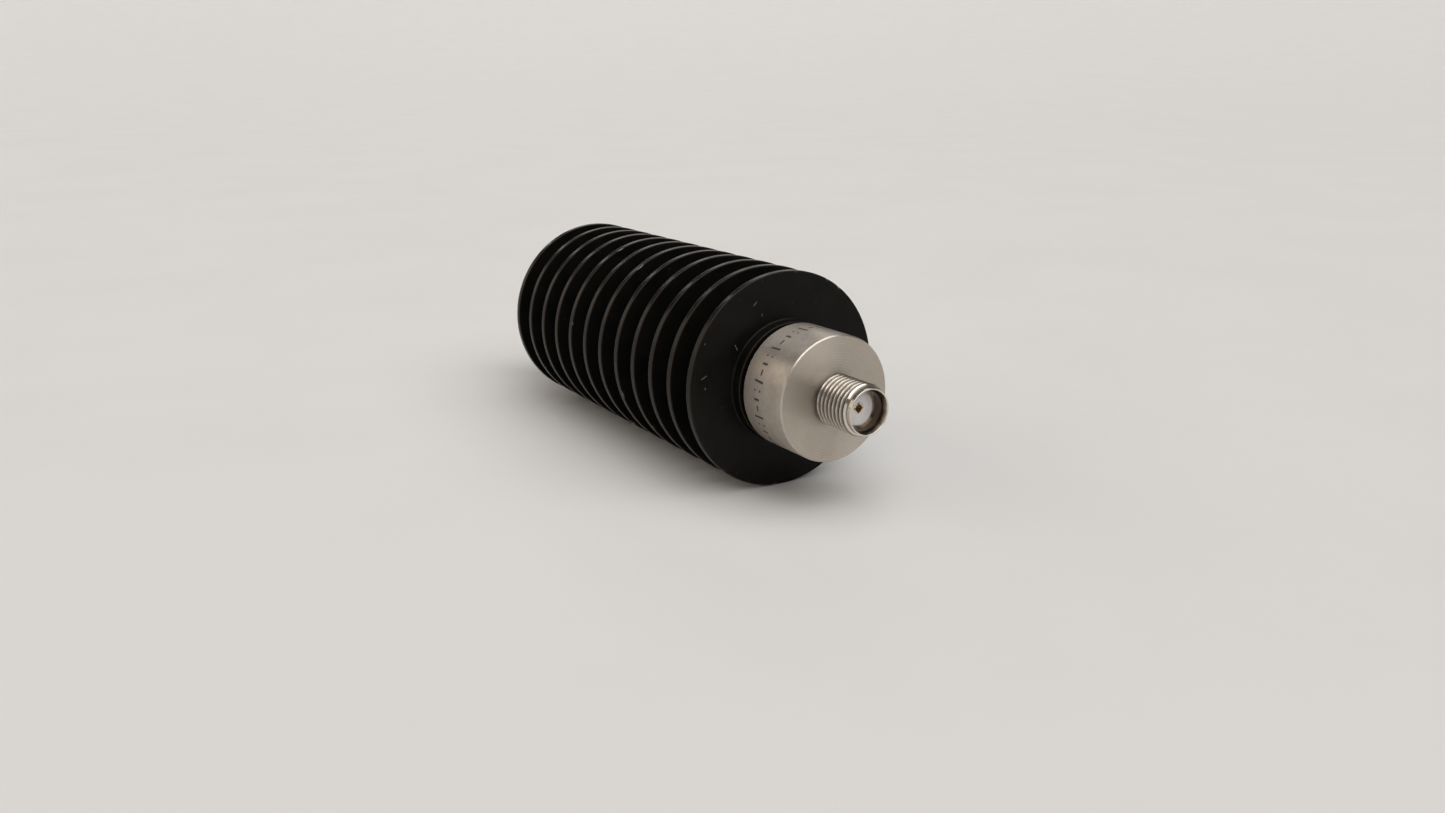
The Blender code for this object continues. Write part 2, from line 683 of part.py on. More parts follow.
def make_lower_block():
    """Lower half-round block with the pocket that the card lies in."""
    split = -FACE_FIT / 2
    edge = math.degrees(math.asin(-split / BLOCK_RADIUS))
    floor = CARD_BOTTOM - FACE_FIT
    outline = arc(BLOCK_RADIUS, 180 + edge, 360 - edge, BODY_SIDES // 2)
    outline += [
        (POCKET_HALF, split),
        (POCKET_HALF, floor),
        (-POCKET_HALF, floor),
        (-POCKET_HALF, split),
    ]
    return extruded("lower_block", outline, block_length(), plain_brass("block_plate"), block_location())


def make_card():
    """Ceramic card that carries the resistive film."""
    half = POCKET_HALF - SLIDE_FIT
    outline = [(-half, CARD_BOTTOM), (half, CARD_BOTTOM), (half, CARD_TOP), (-half, CARD_TOP)]
    return extruded("attenuator_card", outline, block_length(), white_ceramic("card"), block_location())


def make_ground_spring(name, side):
    """Comb of flat spring fingers pressed between a rib and the card's grounded edge."""
    length = block_length() - 2 * SPRING_INSET
    outer = POCKET_HALF - 3 * SLIDE_FIT
    inner = CHANNEL_HALF + SLIDE_FIT
    spine = outer - (outer - inner) * SPRING_SPINE_SHARE
    pitch = length / SPRING_FINGERS
    finger = pitch * (1 - SPRING_GAP_SHARE)
    outline = [(0.0, side * outer)]
    for index in range(SPRING_FINGERS):
        start = index * pitch
        outline.append((start, side * inner))
        outline.append((start + finger, side * inner))
        if index < SPRING_FINGERS - 1:
            outline.append((start + finger, side * spine))
            outline.append((start + pitch, side * spine))
    outline.append((start + finger, side * outer))
    start_x, _, height = block_location()
    location = (start_x + SPRING_INSET, 0.0, height + CARD_TOP + FACE_FIT)
    return extruded(name, outline, SPRING_THICKNESS, gold_plate(name), location, along="Z")


def make_pad_clip(name, end):
    """Bent strap that holds a contact's tail down on the card's end pad."""
    face_x, direction = end
    inner = TAIL_RADIUS + SLIDE_FIT
    outer = inner + CLIP_THICKNESS
    foot = outer + CLIP_FOOT
    low = CARD_TOP + FACE_FIT
    high = low + CLIP_THICKNESS
    outline = [(-inner, low)]
    outline += arc(inner, 180, 0, CLIP_BEND_STEPS)
    outline += [(inner, low), (foot, low), (foot, high), (outer, high)]
    outline += arc(outer, 0, 180, CLIP_BEND_STEPS)
    outline += [(-outer, high), (-foot, high), (-foot, low)]
    start = SHANK_END - (TAIL_LAP - CLIP_LENGTH) / 2
    location = (face_x + direction * start, 0.0, AXIS_HEIGHT)
    return extruded(name, outline, -direction * CLIP_LENGTH, gold_plate(name), location)


def screw_profile(clearance, head_top):
    """Half section of a cheese-head screw, from its tip up, grown by a clearance for its hole."""
    return [
        (-SCREW_DEPTH - clearance, 0.0),
        (-SCREW_DEPTH - clearance, SCREW_RADIUS + clearance),
        (SCREW_HEAD_LEVEL - clearance, SCREW_RADIUS + clearance),
        (SCREW_HEAD_LEVEL - clearance, SCREW_HEAD_RADIUS + clearance),
        (head_top, SCREW_HEAD_RADIUS + clearance),
        (head_top, 0.0),
    ]


def make_block_screws(upper, lower):
    """Slotted screws that clamp the two blocks, in rows on both sides of the card."""
    upright = (0.0, -math.pi / 2, 0.0)
    start_x, _, height = block_location()
    spacing = block_length() / SCREW_ROWS
    for row in range(SCREW_ROWS):
        for side in (-1, 1):
            number = 2 * row + (side + 1) // 2 + 1
            place = (start_x + (row + 0.5) * spacing, side * SCREW_OFFSET, height)
            hole = turned(
                f"screw_hole_{number}",
                screw_profile(SLIDE_FIT, BLOCK_RADIUS),
                None,
                (0.0, 1),
                SCREW_SIDES,
                closed=False,
                location=place,
            )
            hole.rotation_euler = upright
            shape_with(upper, hole)
            shape_with(lower, hole)
            screw = turned(
                f"block_screw_{number}",
                screw_profile(0.0, SCREW_HEAD_TOP),
                stainless(f"screw_steel_{number}"),
                (0.0, 1),
                SCREW_SIDES,
                closed=False,
                location=place,
            )
            screw.rotation_euler = upright
            slot_reach = 2 * SCREW_HEAD_RADIUS
            slot = box(
                f"screw_slot_{number}",
                (SCREW_HEAD_TOP - SCREW_SLOT_DEPTH, -slot_reach, -SCREW_SLOT_WIDTH / 2),
                (SCREW_HEAD_TOP + SCREW_SLOT_DEPTH, slot_reach, SCREW_SLOT_WIDTH / 2),
                place,
            )
            slot.rotation_euler = upright
            shape_with(screw, slot)


def main():
    clear_scene()
    make_heat_sink()
    make_centre_tube()
    make_front_body()
    make_rear_body()
    for prefix, end, plane in (("front", FRONT, SOCKET_PLANE), ("rear", REAR, PLUG_PLANE)):
        make_insulator(f"{prefix}_insulator", end, plane)
        make_lock_ring(f"{prefix}_lock_ring", end)
        make_bead(f"{prefix}_bead", end)
        make_seal_ring(f"{prefix}_seal_ring", end)
        make_pad_clip(f"{prefix}_pad_clip", end)
    make_front_contact()
    make_rear_contact()
    make_coupling_nut()
    make_retaining_ring()
    make_gasket()
    upper = make_upper_block()
    lower = make_lower_block()
    make_card()
    make_ground_spring("left_ground_spring", -1)
    make_ground_spring("right_ground_spring", 1)
    make_block_screws(upper, lower)


main()
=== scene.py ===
"""Looks of a finned coaxial attenuator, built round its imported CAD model.

Lengths are in metres. Nearly every piece is turned: an outline carried round the
common axis, which lies along X at the height of the fins' radius. Places along a connector are
distances outwards from the outer fin's face at its end.
"""

import math
from functools import partial

import bpy
import numpy as np
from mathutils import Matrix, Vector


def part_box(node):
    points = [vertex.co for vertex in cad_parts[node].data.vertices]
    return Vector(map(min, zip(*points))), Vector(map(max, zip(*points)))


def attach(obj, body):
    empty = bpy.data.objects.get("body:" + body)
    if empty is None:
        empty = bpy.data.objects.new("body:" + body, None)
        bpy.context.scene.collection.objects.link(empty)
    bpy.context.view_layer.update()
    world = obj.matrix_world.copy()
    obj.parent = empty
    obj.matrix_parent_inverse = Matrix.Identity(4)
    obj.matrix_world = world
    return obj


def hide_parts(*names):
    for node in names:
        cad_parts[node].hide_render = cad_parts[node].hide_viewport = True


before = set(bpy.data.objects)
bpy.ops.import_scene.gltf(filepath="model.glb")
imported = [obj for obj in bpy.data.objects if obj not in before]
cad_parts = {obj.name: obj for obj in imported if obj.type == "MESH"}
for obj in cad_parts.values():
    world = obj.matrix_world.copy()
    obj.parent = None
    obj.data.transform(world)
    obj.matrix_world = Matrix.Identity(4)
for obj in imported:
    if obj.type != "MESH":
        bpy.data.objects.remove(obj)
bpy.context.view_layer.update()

MM = 0.001
BODY = "attenuator_body"
NUT_BODY = "nut_body"


def span(node):
    """Lowest x, highest x and radius of a round CAD node, from its box."""
    low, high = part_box(node)
    return low.x, high.x, (high.z - low.z) / 2


# Heat sink
FIN_COUNT = 12
FIN_PITCH = 4.73 * MM
FIN_THICKNESS = 0.92 * MM
SINK_REAR, SINK_FRONT, FIN_RADIUS = span("heat_sink")
AXIS_HEIGHT = (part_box("heat_sink")[0].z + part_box("heat_sink")[1].z) / 2
STACK_LENGTH = (FIN_COUNT - 1) * FIN_PITCH + FIN_THICKNESS
NECK_END = (SINK_FRONT - SINK_REAR - STACK_LENGTH) / 2
FRONT_FACE = SINK_FRONT - NECK_END
REAR_FACE = SINK_REAR + NECK_END
COLLAR_LENGTH = 1.55 * MM
COLLAR_STEP = 0.75 * MM
NECK_WALL = 0.9 * MM
ROOT_STEP = 0.35 * MM
ROOT_ROUNDING = 0.3 * MM
RIM_ROUNDING = 0.09 * MM
FIT = 0.03 * MM
TUBE_RADIUS = span("centre_tube")[2]
SINK_BORE = TUBE_RADIUS + 2 * FIT
NECK_RADIUS = SINK_BORE + NECK_WALL
COLLAR_RADIUS = NECK_RADIUS + COLLAR_STEP
ROOT_RADIUS = COLLAR_RADIUS + ROOT_STEP
FRONT = (FRONT_FACE, 1)
REAR = (REAR_FACE, -1)

# Connector barrels
BARREL_LENGTH = 7.9 * MM
SHANK_END = span("front_connector_body")[0] - FRONT_FACE
BARREL_RADIUS = span("front_connector_body")[2]
BARREL_BASE = NECK_END + FIT
BARREL_FACE = BARREL_BASE + BARREL_LENGTH
BARREL_CHAMFER = 0.14 * MM
SHANK_RADIUS = span("upper_block")[2] * 2
AIR_LINE_RADIUS = span("front_bead")[2] + FIT

# Socket in front
MOUTH = span("front_connector_body")[1] - FRONT_FACE
SOCKET_RADIUS = 2.3 * MM
MOUTH_CHAMFER = 0.34 * MM
LEAD_IN = 0.8 * MM
RIM_WIDTH = 0.16 * MM
PILOT_LENGTH = 0.55 * MM
THREAD_DEPTH = 0.375 * MM
THREAD_PITCH = 0.7056 * MM
PILOT_RADIUS = SOCKET_RADIUS + MOUTH_CHAMFER + RIM_WIDTH
THREAD_RADIUS = PILOT_RADIUS + THREAD_DEPTH
LINE_RADIUS = 2.07 * MM
SOCKET_PLANE = span("front_insulator")[1] + FIT - FRONT_FACE
FLANGE_FACE = BARREL_FACE - 2.8 * MM
FLANGE_END = FLANGE_FACE - FIT - 1.6 * MM

# Contacts, from their tips inwards
TIP_RADIUS = 0.15 * MM
TIP_LENGTH = 0.35 * MM
PIN_RADIUS = 0.46 * MM
CONTACT_RADIUS = 0.635 * MM
CONTACT_LENGTH = 4.0 * MM
SHOULDER_RADIUS = 0.835 * MM
DISC_RADIUS = 1.135 * MM
DISC_GAP = 3.03 * MM
DISC_END = FLANGE_FACE - DISC_GAP - 3 * FIT
DISC_START = SHANK_END + DISC_GAP
TAIL_START = SHANK_END + 0.75 * MM
TAIL_RADIUS = 0.49 * MM

# Plug and nut behind
PLUG_PLANE = REAR_FACE - span("rear_insulator")[0] + FIT
PLUG_NECK_END = BARREL_FACE + 2.3 * MM
PLUG_NECK_RADIUS = 2.6 * MM
SLEEVE_RADIUS = 2.285 * MM
RING_START = BARREL_FACE + 1.2 * MM
RING_GROOVE = 0.56 * MM
RING_GROOVE_RADIUS = 2.17 * MM
NUT_START = REAR_FACE - span("coupling_nut")[1]
NUT_END = REAR_FACE - span("coupling_nut")[0]
NUT_FLAT_RADIUS = span("coupling_nut")[2]
NUT_CLEARANCE = 0.08 * MM
NUT_LIP_RADIUS = 2.693 * MM
NUT_GROOVE_RADIUS = 3.137 * MM
NUT_CHAMBER_RADIUS = THREAD_RADIUS + NUT_CLEARANCE
NUT_THREAD_RADIUS = PILOT_RADIUS + 0.05 * MM
NUT_THREAD_DEPTH = 0.3 * MM
NUT_LEAD_IN = 0.42 * MM
NUT_GROOVE = 0.65 * MM
GASKET_FACE = REAR_FACE - span("coupling_gasket")[1]
GASKET_END = REAR_FACE - span("coupling_gasket")[0]
GASKET_WIDTH = 0.72 * MM

# Roundings of edges
CRISP = 0.03 * MM
FINE = 0.04 * MM
EASED = 0.05 * MM
SOFT = 0.08 * MM
BROAD = 0.1 * MM

# Fineness of the grids, and what holds for all pieces
AROUND = 288
MARKED_AROUND = 960
NOSE_AROUND = 192
SMALL_AROUND = 96
WEAR_WIDTH = 0.16 * MM
SIDE_SHARE = 0.48
EASE_SHARE = 0.4
THREAD_STEP = THREAD_PITCH / 14
SHARP_ANGLE = math.radians(32)
TOLERANCE = 0.01 * MM


def outline(corners, closed=True, steps=4, eases=(0.07 * MM, 0.25 * MM)):
    """Rounds a path of corners (along, radius, rounding, wear) into points (along, radius, wear).

    A corner without a rounding or a wear has none. One with rounding c becomes an arc of radius
    c that touches both its sides, smaller where a side is short, with points evenly spaced in
    angle. Each straight side also gets points a little way in from its ends, which keeps
    shading and wear near the edges. The wear at a point is the largest of the corners' wear
    times exp(-distance from the corner / WEAR_WIDTH).
    """
    path = np.array([corner + (0.0,) * (4 - len(corner)) for corner in corners])
    place = path[:, :2]
    to_last = np.roll(place, 1, 0) - place
    to_next = np.roll(place, -1, 0) - place
    arcs = []
    for corner, back, on, rounding in zip(place, to_last, to_next, path[:, 2]):
        if rounding == 0:
            arcs.append(corner[None])
            continue
        back_way = back / np.hypot(*back)
        on_way = on / np.hypot(*on)
        half = math.acos(np.clip(back_way @ on_way, -1, 1)) / 2
        run = min(rounding / math.tan(half), *(SIDE_SHARE * np.hypot(*side) for side in (back, on)))
        radius = run * math.tan(half)
        middle = back_way + on_way
        centre = corner + middle / np.hypot(*middle) * radius / math.sin(half)
        first = corner + back_way * run - centre
        last = corner + on_way * run - centre
        sweep = math.pi - 2 * half
        share = np.linspace(0, 1, steps + 1)[:, None]
        arc = np.sin((1 - share) * sweep) * first + np.sin(share * sweep) * last
        arcs.append(centre + arc / math.sin(sweep))
    points = []
    for number, arc in enumerate(arcs):
        points.append(arc)
        following = arcs[(number + 1) % len(arcs)]
        if not closed and number == len(arcs) - 1:
            break
        side = following[0] - arc[-1]
        length = np.hypot(*side)
        near = [ease for ease in eases if ease < EASE_SHARE * length]
        stops = near + [length - ease for ease in reversed(near)]
        if stops:
            points.append(arc[-1] + side * np.array(stops)[:, None] / length)
    points = np.concatenate(points)
    away = np.linalg.norm(points[:, None] - place[None], axis=2)
    wear = (path[None, :, 3] * np.exp(-away / WEAR_WIDTH)).max(1)
    return np.column_stack([points, wear])


def stand(name, data):
    """A new object in the scene."""
    obj = bpy.data.objects.new(name, data)
    bpy.context.scene.collection.objects.link(obj)
    return obj


def strips(here, there):
    """Quads between rows of points and the rows beside them, all closed round."""
    corners = [here, there, np.roll(there, -1, 1), np.roll(here, -1, 1)]
    return np.stack(corners, -1).reshape(-1, 4)


def surface(name, points, quads, fans):
    """A smooth mesh in the scene, from its points, its quads and its triangles."""
    mesh = bpy.data.meshes.new(name)
    mesh.from_pydata(points.tolist(), [], quads.tolist() + fans.tolist())
    mesh.shade_smooth()
    return stand(name, mesh)


def skin(name, x, radius, angle, closed, layers):
    """Mesh of a grid whose rows run round the axis.

    Point (i, j) is (x, radius cos angle, axis height + radius sin angle). A closed grid joins
    its last row to its first, and an open one has a single pole for each of its end rows. The
    faces are turned outwards by the sign of the volume they enclose. Each layer is a grid of
    values that becomes a point attribute.
    """
    place = np.stack([x, radius * np.cos(angle), AXIS_HEIGHT + radius * np.sin(angle)], -1)
    rows = place if closed else place[1:-1]
    index = np.arange(rows[..., 0].size).reshape(rows.shape[:2])
    here = index if closed else index[:-1]
    there = np.roll(index, -1, 0) if closed else index[1:]
    quads = strips(here, there)
    points = rows.reshape(-1, 3)
    fans = np.zeros((0, 3), int)
    if not closed:
        poles = len(points) + np.arange(2)
        points = np.concatenate([points, place[[0, -1], 0]])
        start = np.stack([np.full_like(index[0], poles[0]), index[0], np.roll(index[0], -1)], -1)
        end = np.stack([np.full_like(index[0], poles[1]), np.roll(index[-1], -1), index[-1]], -1)
        fans = np.concatenate([start, end])
    halves = np.concatenate([quads[:, :3], quads[:, [0, 2, 3]], fans])
    first, second, third = (points[halves[:, corner]] for corner in range(3))
    if (first * np.cross(second, third)).sum() < 0:
        quads = quads[:, ::-1]
        fans = fans[:, ::-1]
    obj = surface(name, points, quads, fans)
    for label, values in layers.items():
        if not closed:
            values = np.concatenate([values[1:-1].ravel(), values[[0, -1], 0]])
        layer = obj.data.attributes.new(label, "FLOAT", "POINT")
        layer.data.foreach_set("value", values.ravel().astype(np.float32))
    obj.data.set_sharp_from_angle(angle=SHARP_ANGLE)
    return obj


def whole_turn(count):
    """Evenly spaced angles round one turn."""
    return np.arange(count) * 2 * np.pi / count


def grids(points, around):
    """Grids of an outline's places along the axis, radii and wear."""
    return (np.repeat(points[:, [part]], around, 1) for part in range(3))


def turned(name, end, points, around=AROUND, closed=True, relief=None):
    """Carries an outline round the axis at one end of the part.

    Row i stands at x = face + direction * along, and column j at angle 2 pi j / around.
    relief(x, radius, angle, layers) may change the radius grid and the layers in place.
    """
    face, direction = end
    along, radius, wear = grids(points, around)
    angle = np.broadcast_to(whole_turn(around), along.shape)
    x = face + direction * along
    layers = {"wear": wear, "grime": 0.0 * along}
    if relief:
        relief(x, radius, angle, layers)
    return skin(name, x, radius, angle, closed, layers)


def dress(obj, material, body, slot, *nodes):
    """Gives a finished piece its material and its body, and hides the nodes it stands for; slot, its
    finish, is not used.
    """
    obj.data.materials.append(material)
    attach(obj, body)
    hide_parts(*nodes)


def turn_between(angle, middle):
    """Signed angle from middle, between minus pi and pi."""
    return (angle - middle + np.pi) % (2 * np.pi) - np.pi


def is_socket(value):
    """Whether a value comes from a node."""
    return isinstance(value, bpy.types.NodeSocket)


def home(*values):
    """Node tree of the first of the values that is a socket."""
    return next(value.id_data for value in values if is_socket(value))


def plug(socket, source):
    """Links a socket to another node's output, or sets it to a plain value."""
    if is_socket(source):
        home(socket).links.new(source, socket)
    else:
        socket.default_value = source


def add(tree, kind, sources=None, **options):
    """Adds a shader node with its options, and fills the inputs that sources names or numbers."""
    made = tree.nodes.new("ShaderNode" + kind)
    for option, value in options.items():
        setattr(made, option, value)
    for key, source in (sources or {}).items():
        plug(made.inputs[key], source)
    return made


def calc(operation, *values):
    """Result of one Math node, in the tree of its first socket."""
    return add(home(*values), "Math", dict(enumerate(values)), operation=operation).outputs[0]


times, plus, minus, largest = (
    partial(calc, operation) for operation in ("MULTIPLY", "ADD", "SUBTRACT", "MAXIMUM")
)


def hypot(first, second):
    """Length of a vector with two parts."""
    return calc("SQRT", plus(calc("POWER", first, 2.0), calc("POWER", second, 2.0)))


def remap(value, low, high, to_low=0.0, to_high=1.0):
    """Carries a value softly from one range to another and holds it there."""
    sources = dict(enumerate((value, low, high, to_low, to_high)))
    return add(home(value), "MapRange", sources, interpolation_type="SMOOTHSTEP").outputs[0]


def spread(mask, start, end):
    """Carries a mask from 0 and 1 to start and end."""
    return remap(mask, 0.0, 1.0, start, end)


def mixed(factor, first, second):
    """Mix of two colours, which are sockets or plain red, green and blue."""
    made = add(home(factor), "Mix", {0: factor}, data_type="RGBA")
    for key, colour in ((6, first), (7, second)):
        plug(made.inputs[key], colour if is_socket(colour) else (*colour, 1.0))
    return made.outputs[2]


def axis_place(tree):
    """Place in millimetres from the axis: (vector, its parts, radius, cosine, sine of the angle)."""
    axis = {0: add(tree, "TexCoord").outputs["Object"], 1: (0, 0, AXIS_HEIGHT)}
    centred = add(tree, "VectorMath", axis, operation="SUBTRACT").outputs[0]
    lengths = {0: centred, "Scale": 1 / MM}
    scaled = add(tree, "VectorMath", lengths, operation="SCALE").outputs[0]
    parts = add(tree, "SeparateXYZ", {0: scaled}).outputs
    radius = largest(hypot(parts[1], parts[2]), 0.001)
    cosine = calc("DIVIDE", parts[1], radius)
    sine = calc("DIVIDE", parts[2], radius)
    return scaled, parts, radius, cosine, sine


def noise(tree, scale, detail=2.0, roughness=0.5):
    """Noise of the place in millimetres from the axis."""
    sources = {"Scale": scale, "Detail": detail, "Roughness": roughness}
    return add(tree, "TexNoise", {"Vector": axis_place(tree)[0], **sources}).outputs[0]


def effect(name, output, build, **inputs):
    """A node group with number inputs, which puts out what build(tree, inputs) returns."""
    tree = bpy.data.node_groups.new(name, "ShaderNodeTree")
    for label, default in inputs.items():
        socket = tree.interface.new_socket(label, in_out="INPUT", socket_type="NodeSocketFloat")
        socket.default_value = default
    tree.interface.new_socket(output, in_out="OUTPUT", socket_type="NodeSocketFloat")
    entry = tree.nodes.new("NodeGroupInput")
    leave = tree.nodes.new("NodeGroupOutput")
    plug(leave.inputs[0], build(tree, entry.outputs))
    return tree


def wrapped_noise(tree, across, around, detail, roughness):
    """Noise wrapped round the axis: it reads x, radius, and the cosine and sine of the angle."""
    _, parts, radius, cosine, sine = axis_place(tree)
    sources = {0: times(parts[0], across), 1: times(radius, across), 2: times(cosine, around)}
    vector = add(tree, "CombineXYZ", sources).outputs[0]
    place = {"Vector": vector, "W": times(sine, around), "Scale": 1.0}
    sources = {**place, "Detail": detail, "Roughness": roughness}
    return add(tree, "TexNoise", sources, noise_dimensions="4D").outputs[0]


def build_turning_marks(tree, given):
    """Fine grooves left by turning: noise that changes fast along x and radius, slowly round."""
    return wrapped_noise(tree, given["Fineness"], given["Unevenness"], 2.0, 0.6)


def build_broken_edge(tree, given):
    """Wear that thins out away from an edge, broken up into chips by noise."""
    chips = noise(tree, given["Chips"], 4.0, 0.65)
    pushed = plus(given["Wear"], times(minus(chips, 0.5), given["Spread"]))
    return remap(pushed, minus(given["Level"], 0.08), plus(given["Level"], 0.08))


def build_scratches(tree, given):
    """Hairline scratches that lie in the surface: noise stretched round or along the axis.

    Across gives how fine they are along x and radius, and Around, round the axis. What stands
    above the level is kept, and the level is lower in some areas, where scratches crowd.
    """
    streaks = wrapped_noise(tree, given["Across"], given["Around"], 1.0, 0.5)
    areas = noise(tree, 0.4, 1.0)
    level = minus(given["Level"], times(areas, 0.14))
    return remap(streaks, level, plus(level, 0.05))


def build_specks(tree, given):
    """Dust and pin-prick chips: small spots round scattered points, of which a share is kept."""
    sources = {"Vector": axis_place(tree)[0], "Scale": given["Fineness"]}
    cells = add(tree, "TexVoronoi", sources).outputs
    pick = add(tree, "SeparateColor", {0: cells["Color"]}).outputs
    reach = times(given["Size"], plus(pick[1], 0.3))
    near = remap(cells["Distance"], times(reach, 0.5), reach, 1.0, 0.0)
    return times(near, calc("LESS_THAN", pick[0], given["Share"]))


def build_feed_lines(tree, given):
    """Evenly spaced lathe lines: a sine of x plus radius, which wobbles and fades in patches."""
    _, parts, radius, _, _ = axis_place(tree)
    wobble = times(noise(tree, 0.3, 1.0), 0.5)
    travel = calc("DIVIDE", plus(parts[0], radius), given["Pitch"])
    wave = calc("SINE", times(plus(travel, wobble), 2 * math.pi))
    patches = remap(noise(tree, 0.3), 0.35, 0.6)
    return times(wave, patches)


def build_nick(tree, given):
    """One short nick across the front fin: near a segment in the plane square to the axis."""
    _, y, z = axis_place(tree)[1]
    across = minus(y, given["Across"])
    up = minus(z, given["Up"])
    cosine = calc("COSINE", given["Slant"])
    sine = calc("SINE", given["Slant"])
    along = plus(times(across, cosine), times(up, sine))
    aside = minus(times(up, cosine), times(across, sine))
    half = times(given["Length"], 0.5)
    beyond = largest(minus(calc("ABSOLUTE", along), half), 0.0)
    return remap(hypot(beyond, aside), 0.015, 0.06, 1.0, 0.0)


def build_mottling(tree, given):
    """Soft uneven patches, from 0 to 1."""
    return remap(noise(tree, given["Fineness"], 4.0, 0.6), 0.3, 0.7)


# Effects shared by the materials: name, output, builder, and inputs with their usual values
EFFECTS = {
    group.name: group
    for group in (
        effect("turning_marks", "Height", build_turning_marks, Fineness=8.0, Unevenness=0.8),
        effect("broken_edge", "Mask", build_broken_edge, Wear=0.0, Level=0.6, Spread=0.8, Chips=2.0),
        effect("scratches", "Mask", build_scratches, Across=9.0, Around=8.0, Level=0.75),
        effect("specks", "Mask", build_specks, Fineness=1.2, Size=0.12, Share=0.2),
        effect("mottling", "Value", build_mottling, Fineness=1.0),
        effect("feed_lines", "Height", build_feed_lines, Pitch=0.3),
        effect("nick", "Mask", build_nick, Across=0.0, Up=0.0, Slant=0.0, Length=0.5),
    )
}


def use(tree, name, **values):
    """Places an effect in a material with its own values, and gives its one output."""
    return add(tree, "Group", values, node_tree=EFFECTS[name]).outputs[0]


def new_material(name):
    """An empty material: (material, node tree, a function that fills its shader's sockets)."""
    material = bpy.data.materials.new(name)
    material.use_nodes = True
    tree = material.node_tree
    sockets = tree.nodes["Principled BSDF"].inputs
    return material, tree, lambda socket, source: plug(sockets[socket], source)


def attribute(tree, name):
    """A piece's own layer, 0 where it has none."""
    return add(tree, "Attribute", attribute_name=name).outputs["Fac"]


def bump(height, distance, strength=1.0, below=None):
    """Normal of a height that stands for a depth of distance."""
    sources = {"Height": height, "Distance": distance, "Strength": strength}
    if below is not None:
        sources["Normal"] = below
    return add(home(height), "Bump", sources).outputs[0]


# Nicks on the front fin's face: millimetres across and up from the axis, slant, length
FACE_NICKS = (
    (-4.4, 10.1, 0.8, 0.6),
    (-3.4, 8.6, 1.4, 0.25),
    (-7.1, 5.0, -1.1, 0.75),
    (-6.3, 2.9, 0.0, 0.12),
    (-11.65, 1.9, 0.45, 0.8),
    (-11.5, 0.5, 1.5, 0.2),
    (-11.5, 6.0, 0.6, 0.12),
)


def face_nicks(tree):
    """Mask of the short nicks on the outer face of the front fin."""
    nicks = 0.0
    for across, up, slant, length in FACE_NICKS:
        nicks = largest(nicks, use(tree, "nick", Across=across, Up=up, Slant=slant, Length=length))
    on_face = calc("GREATER_THAN", axis_place(tree)[1][0], FRONT_FACE / MM - 0.2)
    return times(nicks, on_face)


def black_anodised():
    """Satin black oxide on turned aluminium, browner on the rims, with nicks down to the metal.

    The sharpest edges are rubbed to a thin dark metallic line.
    """
    material, tree, put = new_material("black_anodised")
    wear = attribute(tree, "wear")
    marks = use(tree, "turning_marks", Fineness=6.0, Unevenness=0.7)
    patches = use(tree, "mottling", Fineness=0.35)
    line = remap(wear, 0.8, 1.05)
    edge = use(tree, "broken_edge", Wear=wear, Level=1.4, Spread=1.1, Chips=1.6)
    scratch = use(tree, "scratches", Across=0.9, Around=60.0, Level=0.8)
    specks = use(tree, "specks", Fineness=0.6, Size=0.06, Share=0.12)
    nicks = face_nicks(tree)
    oxide = mixed(patches, (0.0038, 0.0038, 0.0036), (0.0062, 0.0056, 0.0048))
    browned = mixed(remap(wear, 0.1, 0.9), oxide, (0.024, 0.0175, 0.0125))
    scratched = mixed(times(scratch, 0.2), browned, (0.1, 0.095, 0.085))
    dusty = mixed(times(specks, 0.3), scratched, (0.16, 0.15, 0.135))
    chipped = largest(edge, times(nicks, 0.7))
    rubbed = mixed(line, dusty, (0.1, 0.09, 0.08))
    put("Base Color", mixed(chipped, rubbed, (0.24, 0.22, 0.195)))
    put("Metallic", largest(line, times(edge, 0.8)))
    smooth = times(calc("MINIMUM", wear, 0.5), -0.36)
    put("Roughness", plus(spread(patches, 0.3, 0.38), smooth))
    put("Specular IOR Level", 0.095)
    turned_normal = bump(marks, 0.003 * MM, 0.5)
    cuts = largest(scratch, nicks)
    put("Normal", bump(cuts, -0.015 * MM, 0.6, turned_normal))
    return material


